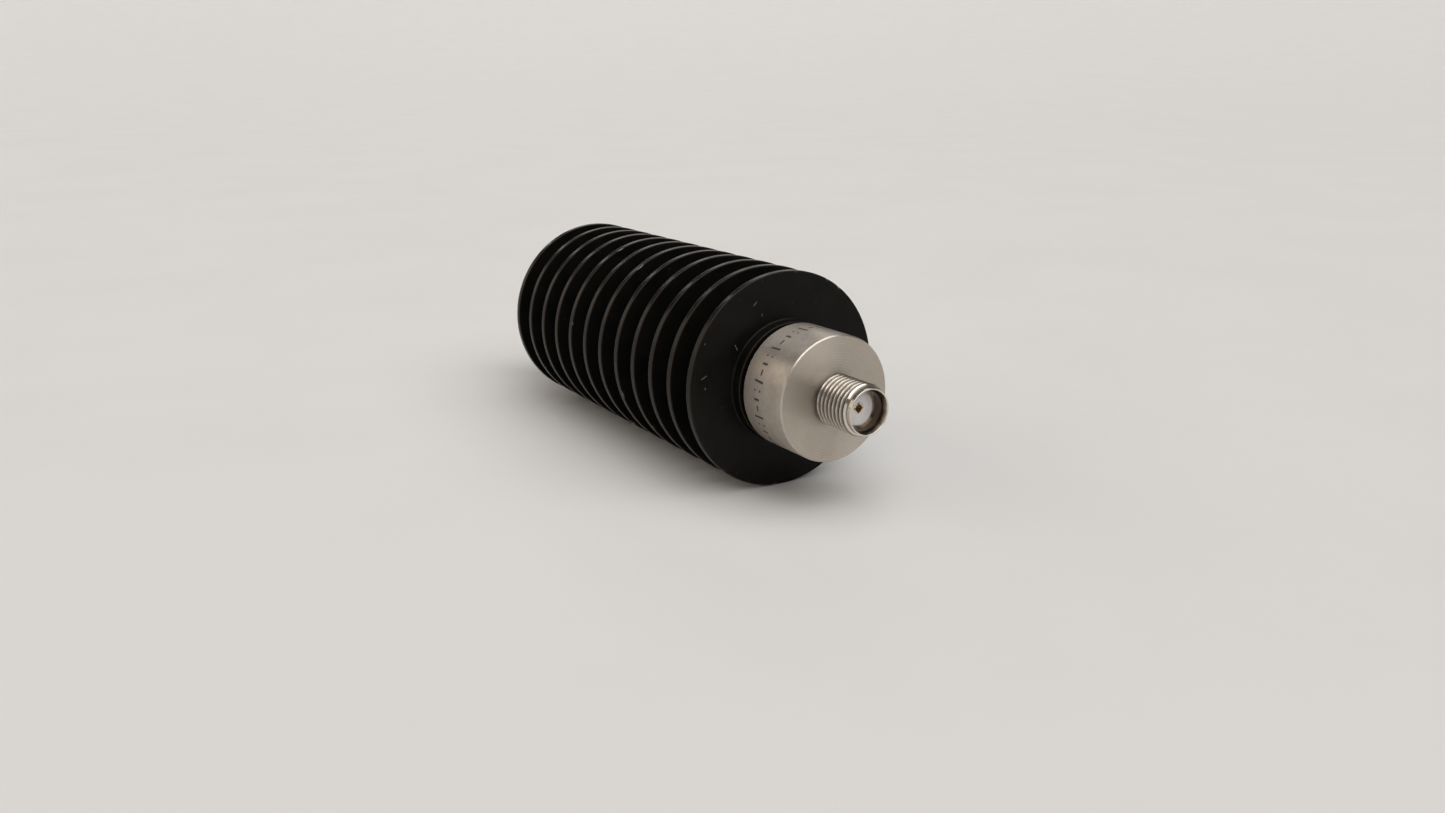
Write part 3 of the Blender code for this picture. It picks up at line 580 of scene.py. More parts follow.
def steel(name, tint, roughness, fineness=9.0, handling=0.5, groove=0.0015 * MM, brushed=0.8):
    """Turned stainless steel: fine grooves, dull patches, hairline scratches and bright edges.

    handling says how scuffed it is, from 0 to 1, and groove how deep its turning marks are.
    brushed says how strongly lathe lines show, and spreads the shine across them. A piece's
    layer of painted bore shade browns the metal, which stays polished, its layer of dirt and
    painted shade darkens and dulls it in thread roots and pressed marks, and in its faced layer
    the lathe lines are darker and the patches fainter.
    """
    material, tree, put = new_material(name)
    wear = attribute(tree, "wear")
    grime = attribute(tree, "grime")
    marks = use(tree, "turning_marks", Fineness=fineness, Unevenness=0.5)
    feed = use(tree, "feed_lines", Pitch=0.33)
    patches = use(tree, "mottling", Fineness=0.7)
    grain = use(tree, "mottling", Fineness=4.0)
    lengthwise = use(tree, "scratches", Across=0.7, Around=50.0, Level=0.8)
    round_about = use(tree, "scratches", Across=8.0, Around=6.0, Level=0.76)
    scuffs = times(largest(lengthwise, round_about), handling)
    dull = [channel * 0.8 for channel in tint]
    faced = attribute(tree, "faced")
    stains = times(times(patches, plus(grain, 0.4)), spread(faced, 1.0, 0.4))
    lines = times(remap(feed, -1.0, 1.0, 0.0, 0.6), faced)
    metal = mixed(largest(stains, lines), tint, dull)
    polished = mixed(remap(wear, 0.3, 0.9), metal, (0.72, 0.68, 0.63))
    # Painted shade: the bore is browned where shade falls inside it, and the metal stays polished
    browned = mixed(attribute(tree, "tarnish"), polished, (0.085, 0.062, 0.045))
    # Dirt and painted shade: thread roots and pressed marks darken towards a dull dark brown
    put("Base Color", mixed(times(grime, 0.92), browned, (0.022, 0.017, 0.013)))
    put("Metallic", spread(grime, 1.0, 0.6))
    uneven = times(plus(patches, grain), 0.08 * handling)
    rough = plus(uneven, remap(wear, 0.2, 1.0, roughness, 0.75 * roughness))
    rough = plus(rough, times(scuffs, 0.12))
    dry = times(calc("POWER", grime, 4.0), 0.45)
    put("Roughness", plus(rough, dry))
    turned_normal = bump(marks, groove, 0.8)
    lined_normal = bump(feed, 0.001 * MM, brushed, turned_normal)
    grainy_normal = bump(grain, 0.006 * MM * handling, 0.6, lined_normal)
    put("Normal", bump(scuffs, -0.012 * MM, 0.8, grainy_normal))
    put("Tangent", add(tree, "Tangent", direction_type="RADIAL", axis="X").outputs[0])
    put("Anisotropic", brushed)
    put("Anisotropic Rotation", 0.25)
    return material


def plated(name, tint, tarnish, roughness):
    """Plated or plain yellow metal with a little tarnish and fine turning marks."""
    material, tree, put = new_material(name)
    marks = use(tree, "turning_marks", Fineness=11.0, Unevenness=0.6)
    patches = use(tree, "mottling", Fineness=1.6)
    put("Base Color", mixed(patches, tint, tarnish))
    put("Roughness", spread(patches, roughness, roughness + 0.14))
    put("Normal", bump(marks, 0.003 * MM, 0.6))
    put("Metallic", 1.0)
    return material


def white_insulator():
    """Waxy white fluoropolymer, turned, with faint smudges."""
    material, tree, put = new_material("white_insulator")
    marks = use(tree, "turning_marks", Fineness=6.0, Unevenness=0.4)
    patches = use(tree, "mottling", Fineness=0.8)
    specks = use(tree, "specks", Fineness=2.2, Size=0.13, Share=0.12)
    waxy = mixed(patches, (0.83, 0.815, 0.82), (0.76, 0.74, 0.735))
    put("Base Color", mixed(times(specks, 0.5), waxy, (0.25, 0.2, 0.16)))
    put("Roughness", spread(patches, 0.36, 0.5))
    put("Normal", bump(marks, 0.004 * MM, 0.5))
    put("Subsurface Weight", 0.2)
    put("Subsurface Scale", 0.4 * MM)
    return material


def soft_rubber(name, deep, pale):
    """Moulded rubber with a bloom of dust and a fine grain."""
    material, tree, put = new_material(name)
    patches = use(tree, "mottling", Fineness=1.4)
    grain = use(tree, "mottling", Fineness=14.0)
    specks = use(tree, "specks", Fineness=2.5, Size=0.12, Share=0.25)
    bloom = mixed(patches, deep, pale)
    put("Base Color", mixed(times(specks, 0.35), bloom, (0.4, 0.37, 0.34)))
    put("Roughness", spread(patches, 0.55, 0.72))
    put("Normal", bump(grain, 0.004 * MM, 0.6))
    return material


FILM_SHARE = 0.6
PAD_LENGTH = 2.2  # millimetres


def ceramic_card():
    """White ceramic with a dark resistive film along its middle and bright pads at its ends."""
    material, tree, put = new_material("ceramic_card")
    low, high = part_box("attenuator_card")
    half_film = FILM_SHARE / 2 * (high.y - low.y) / MM
    middle = (low.x + high.x) / 2 / MM
    pad_start = (high.x - low.x) / 2 / MM - PAD_LENGTH
    x, y, _ = axis_place(tree)[1]
    away = calc("ABSOLUTE", minus(x, middle))
    inside = remap(calc("ABSOLUTE", y), half_film - 0.03, half_film, 1.0, 0.0)
    pads = times(inside, calc("GREATER_THAN", away, pad_start))
    grain = use(tree, "mottling", Fineness=6.0)
    white = mixed(grain, (0.86, 0.85, 0.82), (0.8, 0.785, 0.75))
    film = mixed(inside, white, mixed(grain, (0.05, 0.045, 0.04), (0.08, 0.07, 0.06)))
    put("Base Color", mixed(pads, film, (0.83, 0.6, 0.26)))
    put("Metallic", pads)
    put("Roughness", spread(grain, 0.4, 0.55))
    put("Normal", bump(grain, 0.002 * MM, 0.6))
    return material


# Dents in the rims, with their lengths and depths in millimetres, and the rims' own wear
NICK_COUNT = 46
NICK_SEED = 11
NICK_LENGTHS = (0.12, 0.4)
NICK_DEPTHS = (0.02, 0.07)
NICK_WIDTH = 0.14 * MM
NICK_REACH = 0.4 * MM
NICK_WEAR = 0.7
RIM_EDGE = 0.06 * MM
RIM_WEAR = 0.16


def nick_rims(x, radius, angle, layers):
    """Dents the rims' edges: each dent is a bell curve across the edge and along the rim."""
    rng = np.random.default_rng(NICK_SEED)
    outer = radius > FIN_RADIUS - NICK_REACH
    layers["wear"][radius > FIN_RADIUS - RIM_EDGE] += RIM_WEAR
    for _ in range(NICK_COUNT):
        fin = rng.integers(FIN_COUNT)
        edge = FRONT_FACE - fin * FIN_PITCH - rng.integers(2) * FIN_THICKNESS
        length = rng.uniform(*NICK_LENGTHS) * MM
        depth = rng.uniform(*NICK_DEPTHS) * MM
        along_rim = turn_between(angle, rng.uniform(0, 2 * np.pi)) * FIN_RADIUS / length
        bell = np.exp(-((x - edge) / NICK_WIDTH) ** 2 - along_rim**2) * outer
        radius -= depth * bell
        layers["wear"] += NICK_WEAR * bell


def make_heat_sink():
    """Round fins on a core, with a collar and a thin neck at each end, turned in one piece."""
    ends = [
        (NECK_END, SINK_BORE, EASED, 0.2),
        (NECK_END, NECK_RADIUS, SOFT, 0.2),
        (COLLAR_LENGTH, NECK_RADIUS, BROAD),
        (COLLAR_LENGTH, COLLAR_RADIUS, BROAD, 1.0),
        (0.0, COLLAR_RADIUS, 0.18 * MM, 0.45),
    ]
    fins = []
    for fin in range(FIN_COUNT):
        front = STACK_LENGTH - fin * FIN_PITCH
        back = front - FIN_THICKNESS
        fins += [
            (front, ROOT_RADIUS, ROOT_ROUNDING),
            (front, FIN_RADIUS, RIM_ROUNDING, 0.95),
            (back, FIN_RADIUS, 2 * RIM_ROUNDING, 0.3),
            (back, ROOT_RADIUS, ROOT_ROUNDING),
        ]
    corners = [(STACK_LENGTH + out, *rest) for out, *rest in ends] + fins[1:-1]
    corners += [(-out, *rest) for out, *rest in reversed(ends)]
    points = outline(corners, steps=3, eases=(0.1 * MM, 0.35 * MM))
    sink = turned("finned_heat_sink", (REAR_FACE, 1), points, relief=nick_rims)
    dress(sink, black_anodised(), BODY, "black_anodised", "heat_sink")


def barrel_corners(inner):
    """Corners shared by both barrels, from the shank's inner end to the barrel's face."""
    return [
        (SHANK_END, inner),
        (SHANK_END, SHANK_RADIUS, BROAD),
        (BARREL_BASE, SHANK_RADIUS),
        (BARREL_BASE, BARREL_RADIUS, BROAD, 0.6),
        (BARREL_FACE - BARREL_CHAMFER, BARREL_RADIUS, FINE, 0.5),
        (BARREL_FACE, BARREL_RADIUS - BARREL_CHAMFER, FINE, 0.5),
    ]


# Row of pressed marks, whose burrs are measured in mark widths
MARK_START = math.radians(66)
MARK_TURN = math.radians(8.2)
MARK_COUNT = 23
MARK_LEVEL = BARREL_BASE + 2.95 * MM
MARK_HEIGHT = 1.5 * MM
MARK_REACH = 1.15 * MM
MARK_WIDTH = 0.11 * MM
MARK_DEPTH = 0.05 * MM
MARK_SEED = 5
MARK_ROWS = 49
MARK_STRAY = 0.05
MARK_STRENGTHS = (0.6, 1.1)
# Darkness inside each mark: dirt and painted shade
MARK_GRIME_AND_SHADE = 2.6
BURR_PLACE = 1.7
BURR_WIDTH = 0.5
BURR_HEIGHT = 0.2
BURR_WEAR = 0.5


def mark_end_face(x, radius, angle, layers):
    """Marks a barrel's end face, where lathe lines show most, in a layer of its own."""
    out = np.maximum(x - FRONT_FACE, REAR_FACE - x)
    layers["faced"] = (np.abs(out - BARREL_FACE) < TOLERANCE) * 1.0


def stamp_marks(x, radius, angle, layers):
    """Presses a row of plain marks into the barrel's side: bars, pairs of dots and dashes.

    The depth of a mark is a bell curve of the distance from its middle line, with a low burr
    raised beside it. Each mark strays a little along the axis, and bars lean a little.
    """
    mark_end_face(x, radius, angle, layers)
    rng = np.random.default_rng(MARK_SEED)
    side = (np.abs(radius - BARREL_RADIUS) < 2 * TOLERANCE) * 1.0
    level = x - FRONT_FACE - MARK_LEVEL
    for number in range(MARK_COUNT):
        across = turn_between(angle, MARK_START + number * MARK_TURN) * BARREL_RADIUS
        along = level - rng.normal(0, MARK_STRAY) * MM
        lean = rng.normal(0, MARK_STRAY)
        kind = number % 4
        if kind == 1:
            away = np.hypot(across, np.abs(along) - MARK_HEIGHT / 3)
        elif kind == 3:
            away = np.hypot(np.maximum(np.abs(across) - MARK_HEIGHT / 6, 0), along)
        else:
            half = MARK_HEIGHT / (2 + kind)
            away = np.hypot(across + lean * along, np.maximum(np.abs(along) - half, 0))
        depth = MARK_DEPTH * rng.uniform(*MARK_STRENGTHS)
        press = np.exp(-((away / MARK_WIDTH) ** 2)) * side
        burr = np.exp(-(((away - BURR_PLACE * MARK_WIDTH) / (BURR_WIDTH * MARK_WIDTH)) ** 2)) * side
        radius += depth * (BURR_HEIGHT * burr - press)
        # Dirt and painted shade inside the mark, with wear on its burr
        layers["grime"] += MARK_GRIME_AND_SHADE * press
        layers["wear"] += BURR_WEAR * burr
    np.minimum(layers["grime"], 1.0, out=layers["grime"])


def make_front_barrel():
    """Steel barrel with its hollow shank and a row of stamped marks round its side."""
    inner = AIR_LINE_RADIUS + FIT
    points = outline(barrel_corners(inner) + [(BARREL_FACE, inner)])
    band = np.linspace(MARK_LEVEL - MARK_REACH, MARK_LEVEL + MARK_REACH, MARK_ROWS)
    rows = np.column_stack([band, np.full_like(band, BARREL_RADIUS), np.zeros_like(band)])
    on_side = np.isclose(points[:, 1], BARREL_RADIUS) & (points[:, 0] < MARK_LEVEL)
    split = np.flatnonzero(on_side)[-1] + 1
    points = np.concatenate([points[:split], rows, points[split:]])
    barrel = turned("front_barrel", FRONT, points, MARKED_AROUND, relief=stamp_marks)
    dress(barrel, BARREL_STEEL, BODY, "stainless_steel", "front_connector_body")


# Form of the thread, in shares of half its pitch, how it grows and wears, the dirt and
# painted shade in its roots, and the painted shade in the bore
THREAD_ROOT = 0.1
THREAD_FLANK = 0.7
THREAD_ROUNDING = 0.6
THREAD_RELIEF = 0.22 * MM
THREAD_GROWTH = 0.35 * MM
THREAD_END_SLOPE = 1.1
THREAD_GRIME_AND_SHADE = 0.97
THREAD_WEAR = 0.75
BRIGHT_LIP = 0.08 * MM
BORE_SHADE = 0.95


def thread_form(x, angle):
    """Height of a right-hand thread, from 0 in its root to 1 on its crest.

    A flank is a straight ramp mixed with its smooth step, 3 ramp squared - 2 ramp cubed.
    """
    phase = (x / THREAD_PITCH - angle / (2 * np.pi)) % 1
    ramp = np.clip((np.abs(2 * phase - 1) - THREAD_ROOT) / THREAD_FLANK, 0, 1)
    return (1 - THREAD_ROUNDING) * ramp + THREAD_ROUNDING * ramp * ramp * (3 - 2 * ramp)


def cut_thread(x, radius, angle, layers):
    """Cuts the helical thread into the nose, growing out of a relief at the barrel's face.

    The radius is the root's plus the thread's depth times its form, and no more than the
    chamfer at the thread's end allows. The roots are darkened with dirt and painted shade, and
    the bore with painted shade up to the mouth's bright lip.
    """
    out = x - FRONT_FACE
    end = MOUTH - PILOT_LENGTH
    threaded = (radius > PILOT_RADIUS + TOLERANCE) & (out > BARREL_FACE - TOLERANCE)
    growth = np.clip((out - BARREL_FACE - THREAD_RELIEF) / THREAD_GROWTH, 0, 1)
    form = thread_form(x, angle) * growth
    cut = PILOT_RADIUS + THREAD_DEPTH * form
    chamfer = PILOT_RADIUS + np.maximum(end - out, 0) * THREAD_END_SLOPE
    radius[:] = np.where(threaded, np.minimum(cut, chamfer), radius)
    bore = (radius < SOCKET_RADIUS + MOUTH_CHAMFER - BRIGHT_LIP) & (out > SOCKET_PLANE)
    # Dirt and painted shade, darker towards the thread's roots
    layers["grime"] += np.where(threaded, THREAD_GRIME_AND_SHADE * np.clip(1 - form, 0, 1) ** 0.4, 0)
    # Painted shade in the bore, up to the mouth's bright lip
    layers["tarnish"] = BORE_SHADE * bore
    layers["wear"] += np.where(threaded, THREAD_WEAR * form**3, 0)


def make_front_nose():
    """Threaded nose of the socket: thread, pilot, mouth, bore and mating face, with a spigot."""
    end = MOUTH - PILOT_LENGTH
    thread_rows = np.arange(BARREL_FACE, end, THREAD_STEP)
    mouth_edge = SOCKET_RADIUS + MOUTH_CHAMFER
    corners = [(along, THREAD_RADIUS) for along in thread_rows]
    corners += [
        (end, PILOT_RADIUS),
        (MOUTH, PILOT_RADIUS, 0.06 * MM, 0.9),
        (MOUTH, mouth_edge, EASED, 0.9),
        (MOUTH - LEAD_IN, SOCKET_RADIUS, 0.8 * MM),
        (SOCKET_PLANE, SOCKET_RADIUS, FINE),
        (SOCKET_PLANE, LINE_RADIUS, CRISP, 0.3),
        (FLANGE_FACE, LINE_RADIUS),
        (FLANGE_FACE, AIR_LINE_RADIUS),
        (BARREL_FACE, AIR_LINE_RADIUS),
    ]
    points = outline(corners, eases=(0.05 * MM, 0.15 * MM))
    nose = turned("socket_nose", FRONT, points, NOSE_AROUND, relief=cut_thread)
    dress(nose, NOSE_STEEL, BODY, "stainless_steel", "front_connector_body")


def make_rear_barrel():
    """Steel barrel with the plug's grooved neck and thin sleeve."""
    groove_end = RING_START + RING_GROOVE
    corners = barrel_corners(AIR_LINE_RADIUS) + [
        (BARREL_FACE, PLUG_NECK_RADIUS, BROAD),
        (RING_START, PLUG_NECK_RADIUS, CRISP, 0.3),
        (RING_START, RING_GROOVE_RADIUS, CRISP),
        (groove_end, RING_GROOVE_RADIUS, CRISP),
        (groove_end, PLUG_NECK_RADIUS, CRISP, 0.3),
        (PLUG_NECK_END, PLUG_NECK_RADIUS, EASED, 0.5),
        (PLUG_NECK_END, SLEEVE_RADIUS, 0.02 * MM),
        (PLUG_PLANE, SLEEVE_RADIUS, EASED, 0.9),
        (PLUG_PLANE, LINE_RADIUS, FINE, 0.9),
        (FLANGE_FACE, LINE_RADIUS),
        (FLANGE_FACE, AIR_LINE_RADIUS),
    ]
    barrel = turned("rear_barrel", REAR, outline(corners), relief=mark_end_face)
    dress(barrel, BARREL_STEEL, BODY, "stainless_steel", "rear_connector_body")


CORNER_ROUNDING = 0.16 * MM
CORNER_SPAN = 0.05
CORNER_WEAR = 0.6
CORNER_WEAR_SPAN = 0.04
NUT_AROUND = 180
NUT_FACE_RADIUS = NUT_FLAT_RADIUS - 0.12 * MM
NUT_FACE_WIDTH = 0.3 * MM
# How much darker the nut thread's roots are
NUT_ROOT_DARKENING = 0.6


def off_corner(angle):
    """Angle from the hexagon's nearest corner."""
    return np.abs((angle + np.pi / 6) % (np.pi / 3) - np.pi / 6)


def hexagon_radius(angle):
    """Distance from the axis to a hexagon with rounded corners, in the direction of an angle.

    On a flat it is flat / cos(30 degrees - off), where off is the angle from the nearest
    corner. Near the corner it is the far side of a circle that touches both flats.
    """
    off = off_corner(angle)
    flat = NUT_FLAT_RADIUS / np.cos(np.pi / 6 - off)
    centre = (NUT_FLAT_RADIUS - CORNER_ROUNDING) / math.cos(math.pi / 6)
    touch = math.atan2(CORNER_ROUNDING * 0.5, centre + CORNER_ROUNDING * math.cos(math.pi / 6))
    inner = np.maximum(CORNER_ROUNDING**2 - (centre * np.sin(off)) ** 2, 0)
    return np.where(off < touch, centre * np.cos(off) + np.sqrt(inner), flat)


def nut_columns():
    """Angles of the nut's columns: evenly spaced, and closer together at its corners."""
    turns = np.arange(6) * np.pi / 3
    dense = (turns[:, None] + np.linspace(-CORNER_SPAN, CORNER_SPAN, 9)[None]).ravel()
    even = whole_turn(NUT_AROUND)
    far = np.abs(turn_between(even[:, None], turns[None])).min(1) > 1.1 * CORNER_SPAN
    return np.sort(np.concatenate([dense % (2 * np.pi), even[far]]))


def nut_inside(length, thread_start):
    """Outline of the nut from its mouth inwards: thread, gasket chamber, lip and groove."""
    groove_start = RING_START - FIT - NUT_START
    groove_end = groove_start + NUT_GROOVE
    chamber = PLUG_NECK_END - NUT_CLEARANCE - NUT_START
    lead_in = length - NUT_LEAD_IN
    thread_rows = np.arange(thread_start + THREAD_STEP, lead_in - 3 * TOLERANCE, THREAD_STEP)
    hub = NUT_FACE_RADIUS - NUT_FACE_WIDTH
    corners = [
        (length, hub),
        (length, NUT_THREAD_RADIUS + NUT_LEAD_IN, FINE, 0.8),
        (lead_in, NUT_THREAD_RADIUS, 0.0, 0.3),
    ]
    corners += [(along, NUT_THREAD_RADIUS) for along in thread_rows[::-1]]
    corners += [
        (thread_start, NUT_THREAD_RADIUS),
        (thread_start, NUT_CHAMBER_RADIUS),
        (chamber, NUT_CHAMBER_RADIUS),
        (chamber, NUT_LIP_RADIUS),
        (groove_end, NUT_LIP_RADIUS),
        (groove_end, NUT_GROOVE_RADIUS),
        (groove_start, NUT_GROOVE_RADIUS),
        (groove_start, NUT_LIP_RADIUS),
        (0.0, NUT_LIP_RADIUS, 0.06 * MM, 0.5),
        (0.0, hub),
    ]
    return outline(corners, closed=False, steps=3, eases=(0.05 * MM,))


def make_coupling_nut():
    """Hexagon nut with chamfered corners, a lip, a groove, a gasket chamber and a thread.

    The outside rows follow the hexagon. Where the 30 degree chamfer cone meets it, the row
    stands (radius - face radius) * tan 30 in from the end, which draws the arcs on the flats.
    """
    length = NUT_END - NUT_START
    thread_start = GASKET_END + NUT_CLEARANCE - NUT_START
    columns = nut_columns()
    points = nut_inside(length, thread_start)
    along, radius, wear = grids(points, len(columns))
    x = REAR_FACE - NUT_START - along
    threaded = (along > thread_start) & (along < length - NUT_LEAD_IN - TOLERANCE)
    bored = (radius < NUT_THREAD_RADIUS + TOLERANCE) & threaded
    form = 1 - thread_form(x, columns[None] + np.pi)
    radius = np.where(bored, NUT_THREAD_RADIUS + NUT_THREAD_DEPTH * form, radius)
    # Darker towards the thread's roots
    grime = np.where(bored, NUT_ROOT_DARKENING * form, 0.0)

    hexagon = hexagon_radius(columns)
    chamfer = np.maximum(hexagon - NUT_FACE_RADIUS, 0) * math.tan(math.pi / 6)
    face = np.minimum(hexagon, NUT_FACE_RADIUS)
    steps = ((0.0, 1.0), (0.06 * MM, 0.6), (0.24 * MM, 0.1))  # in from the arcs, and their wear
    outside = [(0.0, face, 0.5)]
    outside += [(chamfer + step, hexagon, worn) for step, worn in steps]
    outside += [(length - chamfer - step, hexagon, worn) for step, worn in reversed(steps)]
    outside += [(length, face, 0.5)]
    shell_along, shell_radius, shell_wear = (
        np.array([row[part] + 0.0 * chamfer for row in outside]) for part in range(3)
    )
    corner_wear = CORNER_WEAR * np.exp(-((off_corner(columns) / CORNER_WEAR_SPAN) ** 2))
    shell_wear = np.maximum(shell_wear, corner_wear[None])

    along = np.concatenate([along, shell_along])
    radius = np.concatenate([radius, shell_radius])
    layers = {
        "wear": np.concatenate([wear, shell_wear]),
        "grime": np.concatenate([grime, 0.0 * shell_along]),
    }
    angle = np.broadcast_to(columns, along.shape)
    nut = skin("hexagon_coupling_nut", REAR_FACE - NUT_START - along, radius, angle, True, layers)
    dress(nut, NUT_STEEL, NUT_BODY, "stainless_steel", "coupling_nut")


def make_insulators():
    """White faces of both connectors, whose sleeves reach back to their flanges."""
    hole = CONTACT_RADIUS + FIT
    shoulder = SHOULDER_RADIUS + 2 * FIT
    for name, node, end, plane in (
        ("socket_insulator", "front_insulator", FRONT, SOCKET_PLANE),
        ("plug_insulator", "rear_insulator", REAR, PLUG_PLANE),
    ):
        face = plane - FIT
        step = plane - CONTACT_LENGTH
        corners = [
            (face, hole, FINE),
            (face, LINE_RADIUS - FIT, 0.06 * MM),
            (FLANGE_FACE - FIT, LINE_RADIUS - FIT),
            (FLANGE_FACE - FIT, AIR_LINE_RADIUS - FIT, EASED),
            (FLANGE_END, AIR_LINE_RADIUS - FIT, EASED),
            (FLANGE_END, shoulder),
            (step, shoulder),
            (step, hole),
        ]
        piece = turned(name, end, outline(corners), SMALL_AROUND)
        dress(piece, WHITE_INSULATOR, BODY, "white_insulator", node)


def make_pin():
    """Pointed pin of the plug, with its shoulders and thin tail."""
    low, high, _ = span("rear_contact")
    tip = REAR_FACE - low
    tail = REAR_FACE - high
    step = PLUG_PLANE - CONTACT_LENGTH - FIT
    corners = [
        (tip, 0.0),
        (tip, TIP_RADIUS, EASED),
        (tip - TIP_LENGTH, PIN_RADIUS, 0.15 * MM),
        (PLUG_PLANE - FIT, PIN_RADIUS, 0.02 * MM),
        (PLUG_PLANE - FIT, CONTACT_RADIUS, FINE),
        (step, CONTACT_RADIUS),
        (step, SHOULDER_RADIUS),
        (DISC_END, SHOULDER_RADIUS),
        (DISC_END, DISC_RADIUS, EASED),
        (DISC_START, DISC_RADIUS, EASED),
        (DISC_START, SHOULDER_RADIUS),
        (TAIL_START, SHOULDER_RADIUS, EASED),
        (TAIL_START, TAIL_RADIUS),
        (tail, TAIL_RADIUS, EASED),
        (tail, 0.0),
    ]
    points = outline(corners, closed=False)
    pin = turned("plug_pin", REAR, points, SMALL_AROUND, closed=False)
    dress(pin, GOLD, BODY, "gold_plate", "rear_contact")


def make_gasket():
    """Flat rubber ring in the nut, with edges rounded by moulding."""
    inner = SLEEVE_RADIUS + FIT
    outer = inner + GASKET_WIDTH
    corners = [
        (GASKET_FACE, inner, SOFT),
        (GASKET_FACE, outer, SOFT),
        (GASKET_END, outer, SOFT),
        (GASKET_END, inner, SOFT),
    ]
    gasket = turned("flat_gasket", REAR, outline(corners), SMALL_AROUND)
    dress(gasket, RED_RUBBER, BODY, "red_rubber", "coupling_gasket")


def finish_inner_nodes():
    """Gives their finishes to the CAD nodes that no dressed piece stands for."""
    screws = [f"block_screw_{number}" for number in range(1, 5)]
    finishes = (
        (CONTACT_GOLD, ["front_contact"]),
        (BRASS, ["centre_tube", "front_lock_ring", "rear_lock_ring", "upper_block", "lower_block"]),
        (WHITE_INSULATOR, ["front_bead", "rear_bead"]),
        (GOLD, ["front_pad_clip", "rear_pad_clip", "left_ground_spring", "right_ground_spring"]),
        (BLACK_RUBBER, ["front_seal_ring", "rear_seal_ring"]),
        (BRONZE, ["nut_retaining_ring"]),
        (ceramic_card(), ["attenuator_card"]),
        (NUT_STEEL, screws),
    )
    for material, nodes in finishes:
        for node in nodes:
            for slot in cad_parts[node].material_slots:
                slot.material = material


BARREL_STEEL = steel("barrel_steel", (0.53, 0.475, 0.415), 0.36, handling=0.8)
NOSE_STEEL = steel(
    "nose_steel", (0.6, 0.53, 0.44), 0.17, fineness=14.0, handling=0.3, groove=0.001 * MM, brushed=0.5
)
NUT_STEEL = steel("nut_steel", (0.58, 0.54, 0.49), 0.22, fineness=6.0, handling=0.35, brushed=0.0)
GOLD = plated("gold_plate", (0.66, 0.46, 0.22), (0.42, 0.28, 0.14), 0.26)
CONTACT_GOLD = plated("contact_gold", (0.86, 0.7, 0.47), (0.7, 0.54, 0.34), 0.3)
BRASS = plated("plain_brass", (0.74, 0.55, 0.28), (0.55, 0.38, 0.18), 0.28)
BRONZE = plated("spring_bronze", (0.72, 0.48, 0.27), (0.5, 0.31, 0.17), 0.26)
WHITE_INSULATOR = white_insulator()
BLACK_RUBBER = soft_rubber("black_rubber", (0.012, 0.012, 0.012), (0.03, 0.029, 0.028))
RED_RUBBER = soft_rubber("red_rubber", (0.36, 0.06, 0.035), (0.46, 0.11, 0.07))

# Photograph's viewpoint, relative to the middle of the front fin's face
CAMERA_AZIMUTH = math.radians(57.954)
CAMERA_ELEVATION = math.radians(16.262)
CAMERA_DISTANCE = 144.87 * MM
CAMERA_RIGHT = -7.68 * MM
CAMERA_UP = -3.32 * MM
CAMERA_LENS = 28.93  # millimetres, on a 36 mm wide sensor


def make_camera():
    """Camera at the photograph's viewing angle, level, looking straight along its direction."""
    data = bpy.data.cameras.new("camera")
    data.lens = CAMERA_LENS
    data.clip_start = 0.01
    data.clip_end = 20.0
    camera = stand("camera", data)
    flat = math.cos(CAMERA_ELEVATION)
    right = np.array([math.cos(CAMERA_AZIMUTH), math.sin(CAMERA_AZIMUTH), 0.0])
    back = np.array([right[1] * flat, -right[0] * flat, math.sin(CAMERA_ELEVATION)])
    up = np.cross(back, right)
    target = np.array([FRONT_FACE, 0.0, AXIS_HEIGHT])
    camera.location = target + CAMERA_DISTANCE * back + CAMERA_RIGHT * right + CAMERA_UP * up
    camera.rotation_euler = (math.pi / 2 - CAMERA_ELEVATION, 0.0, CAMERA_AZIMUTH)
    bpy.context.scene.camera = camera


def make_floor():
    """Pale floor that rises gently far away, turned round the vertical.

    Its height is rise times the square of the share of the way from the flat middle's edge
    to the rim.
    """
    flat_radius = 1.2
    rim_radius = 4.5
    rise = 0.3
    around = 96
    share = np.linspace(0, 1, 25)
    reach = np.concatenate([[0.3, 0.7], flat_radius + (rim_radius - flat_radius) * share])
    height = np.concatenate([[0.0, 0.0], rise * share**2])
    angle = whole_turn(around)
    x = reach[:, None] * np.cos(angle)
    y = reach[:, None] * np.sin(angle)
    z = np.repeat(height[:, None], around, 1)
    points = np.concatenate([np.stack([x, y, z], -1).reshape(-1, 3), [[0.0, 0.0, 0.0]]])
    index = np.arange(len(points) - 1).reshape(-1, around)
    quads = strips(index[:-1], index[1:])
    fan = np.stack([np.full(around, len(points) - 1), index[0], np.roll(index[0], -1)], -1)
    floor = surface("floor", points, quads, fan)
    material, tree, put = new_material("pale_floor")
    patches = use(tree, "mottling", Fineness=0.02)
    put("Base Color", mixed(patches, (0.66, 0.65, 0.635), (0.645, 0.635, 0.62)))
    put("Roughness", 0.7)
    put("Specular IOR Level", 0.2)
    floor.data.materials.append(material)


# Dome: where its pale rim ends and its pale top starts, as the z of a direction, how much
# higher the rim reaches in what metal mirrors, and its colours
RIM_HEIGHTS = (0.06, 0.14)
MIRRORED_RISE = 0.2
TOP_HEIGHTS = (0.75, 0.95)
BACKDROP = (0.69, 0.665, 0.635)
DIM_BAND = (0.077, 0.078, 0.08)
PALE_TOP = (0.384, 0.39, 0.4)

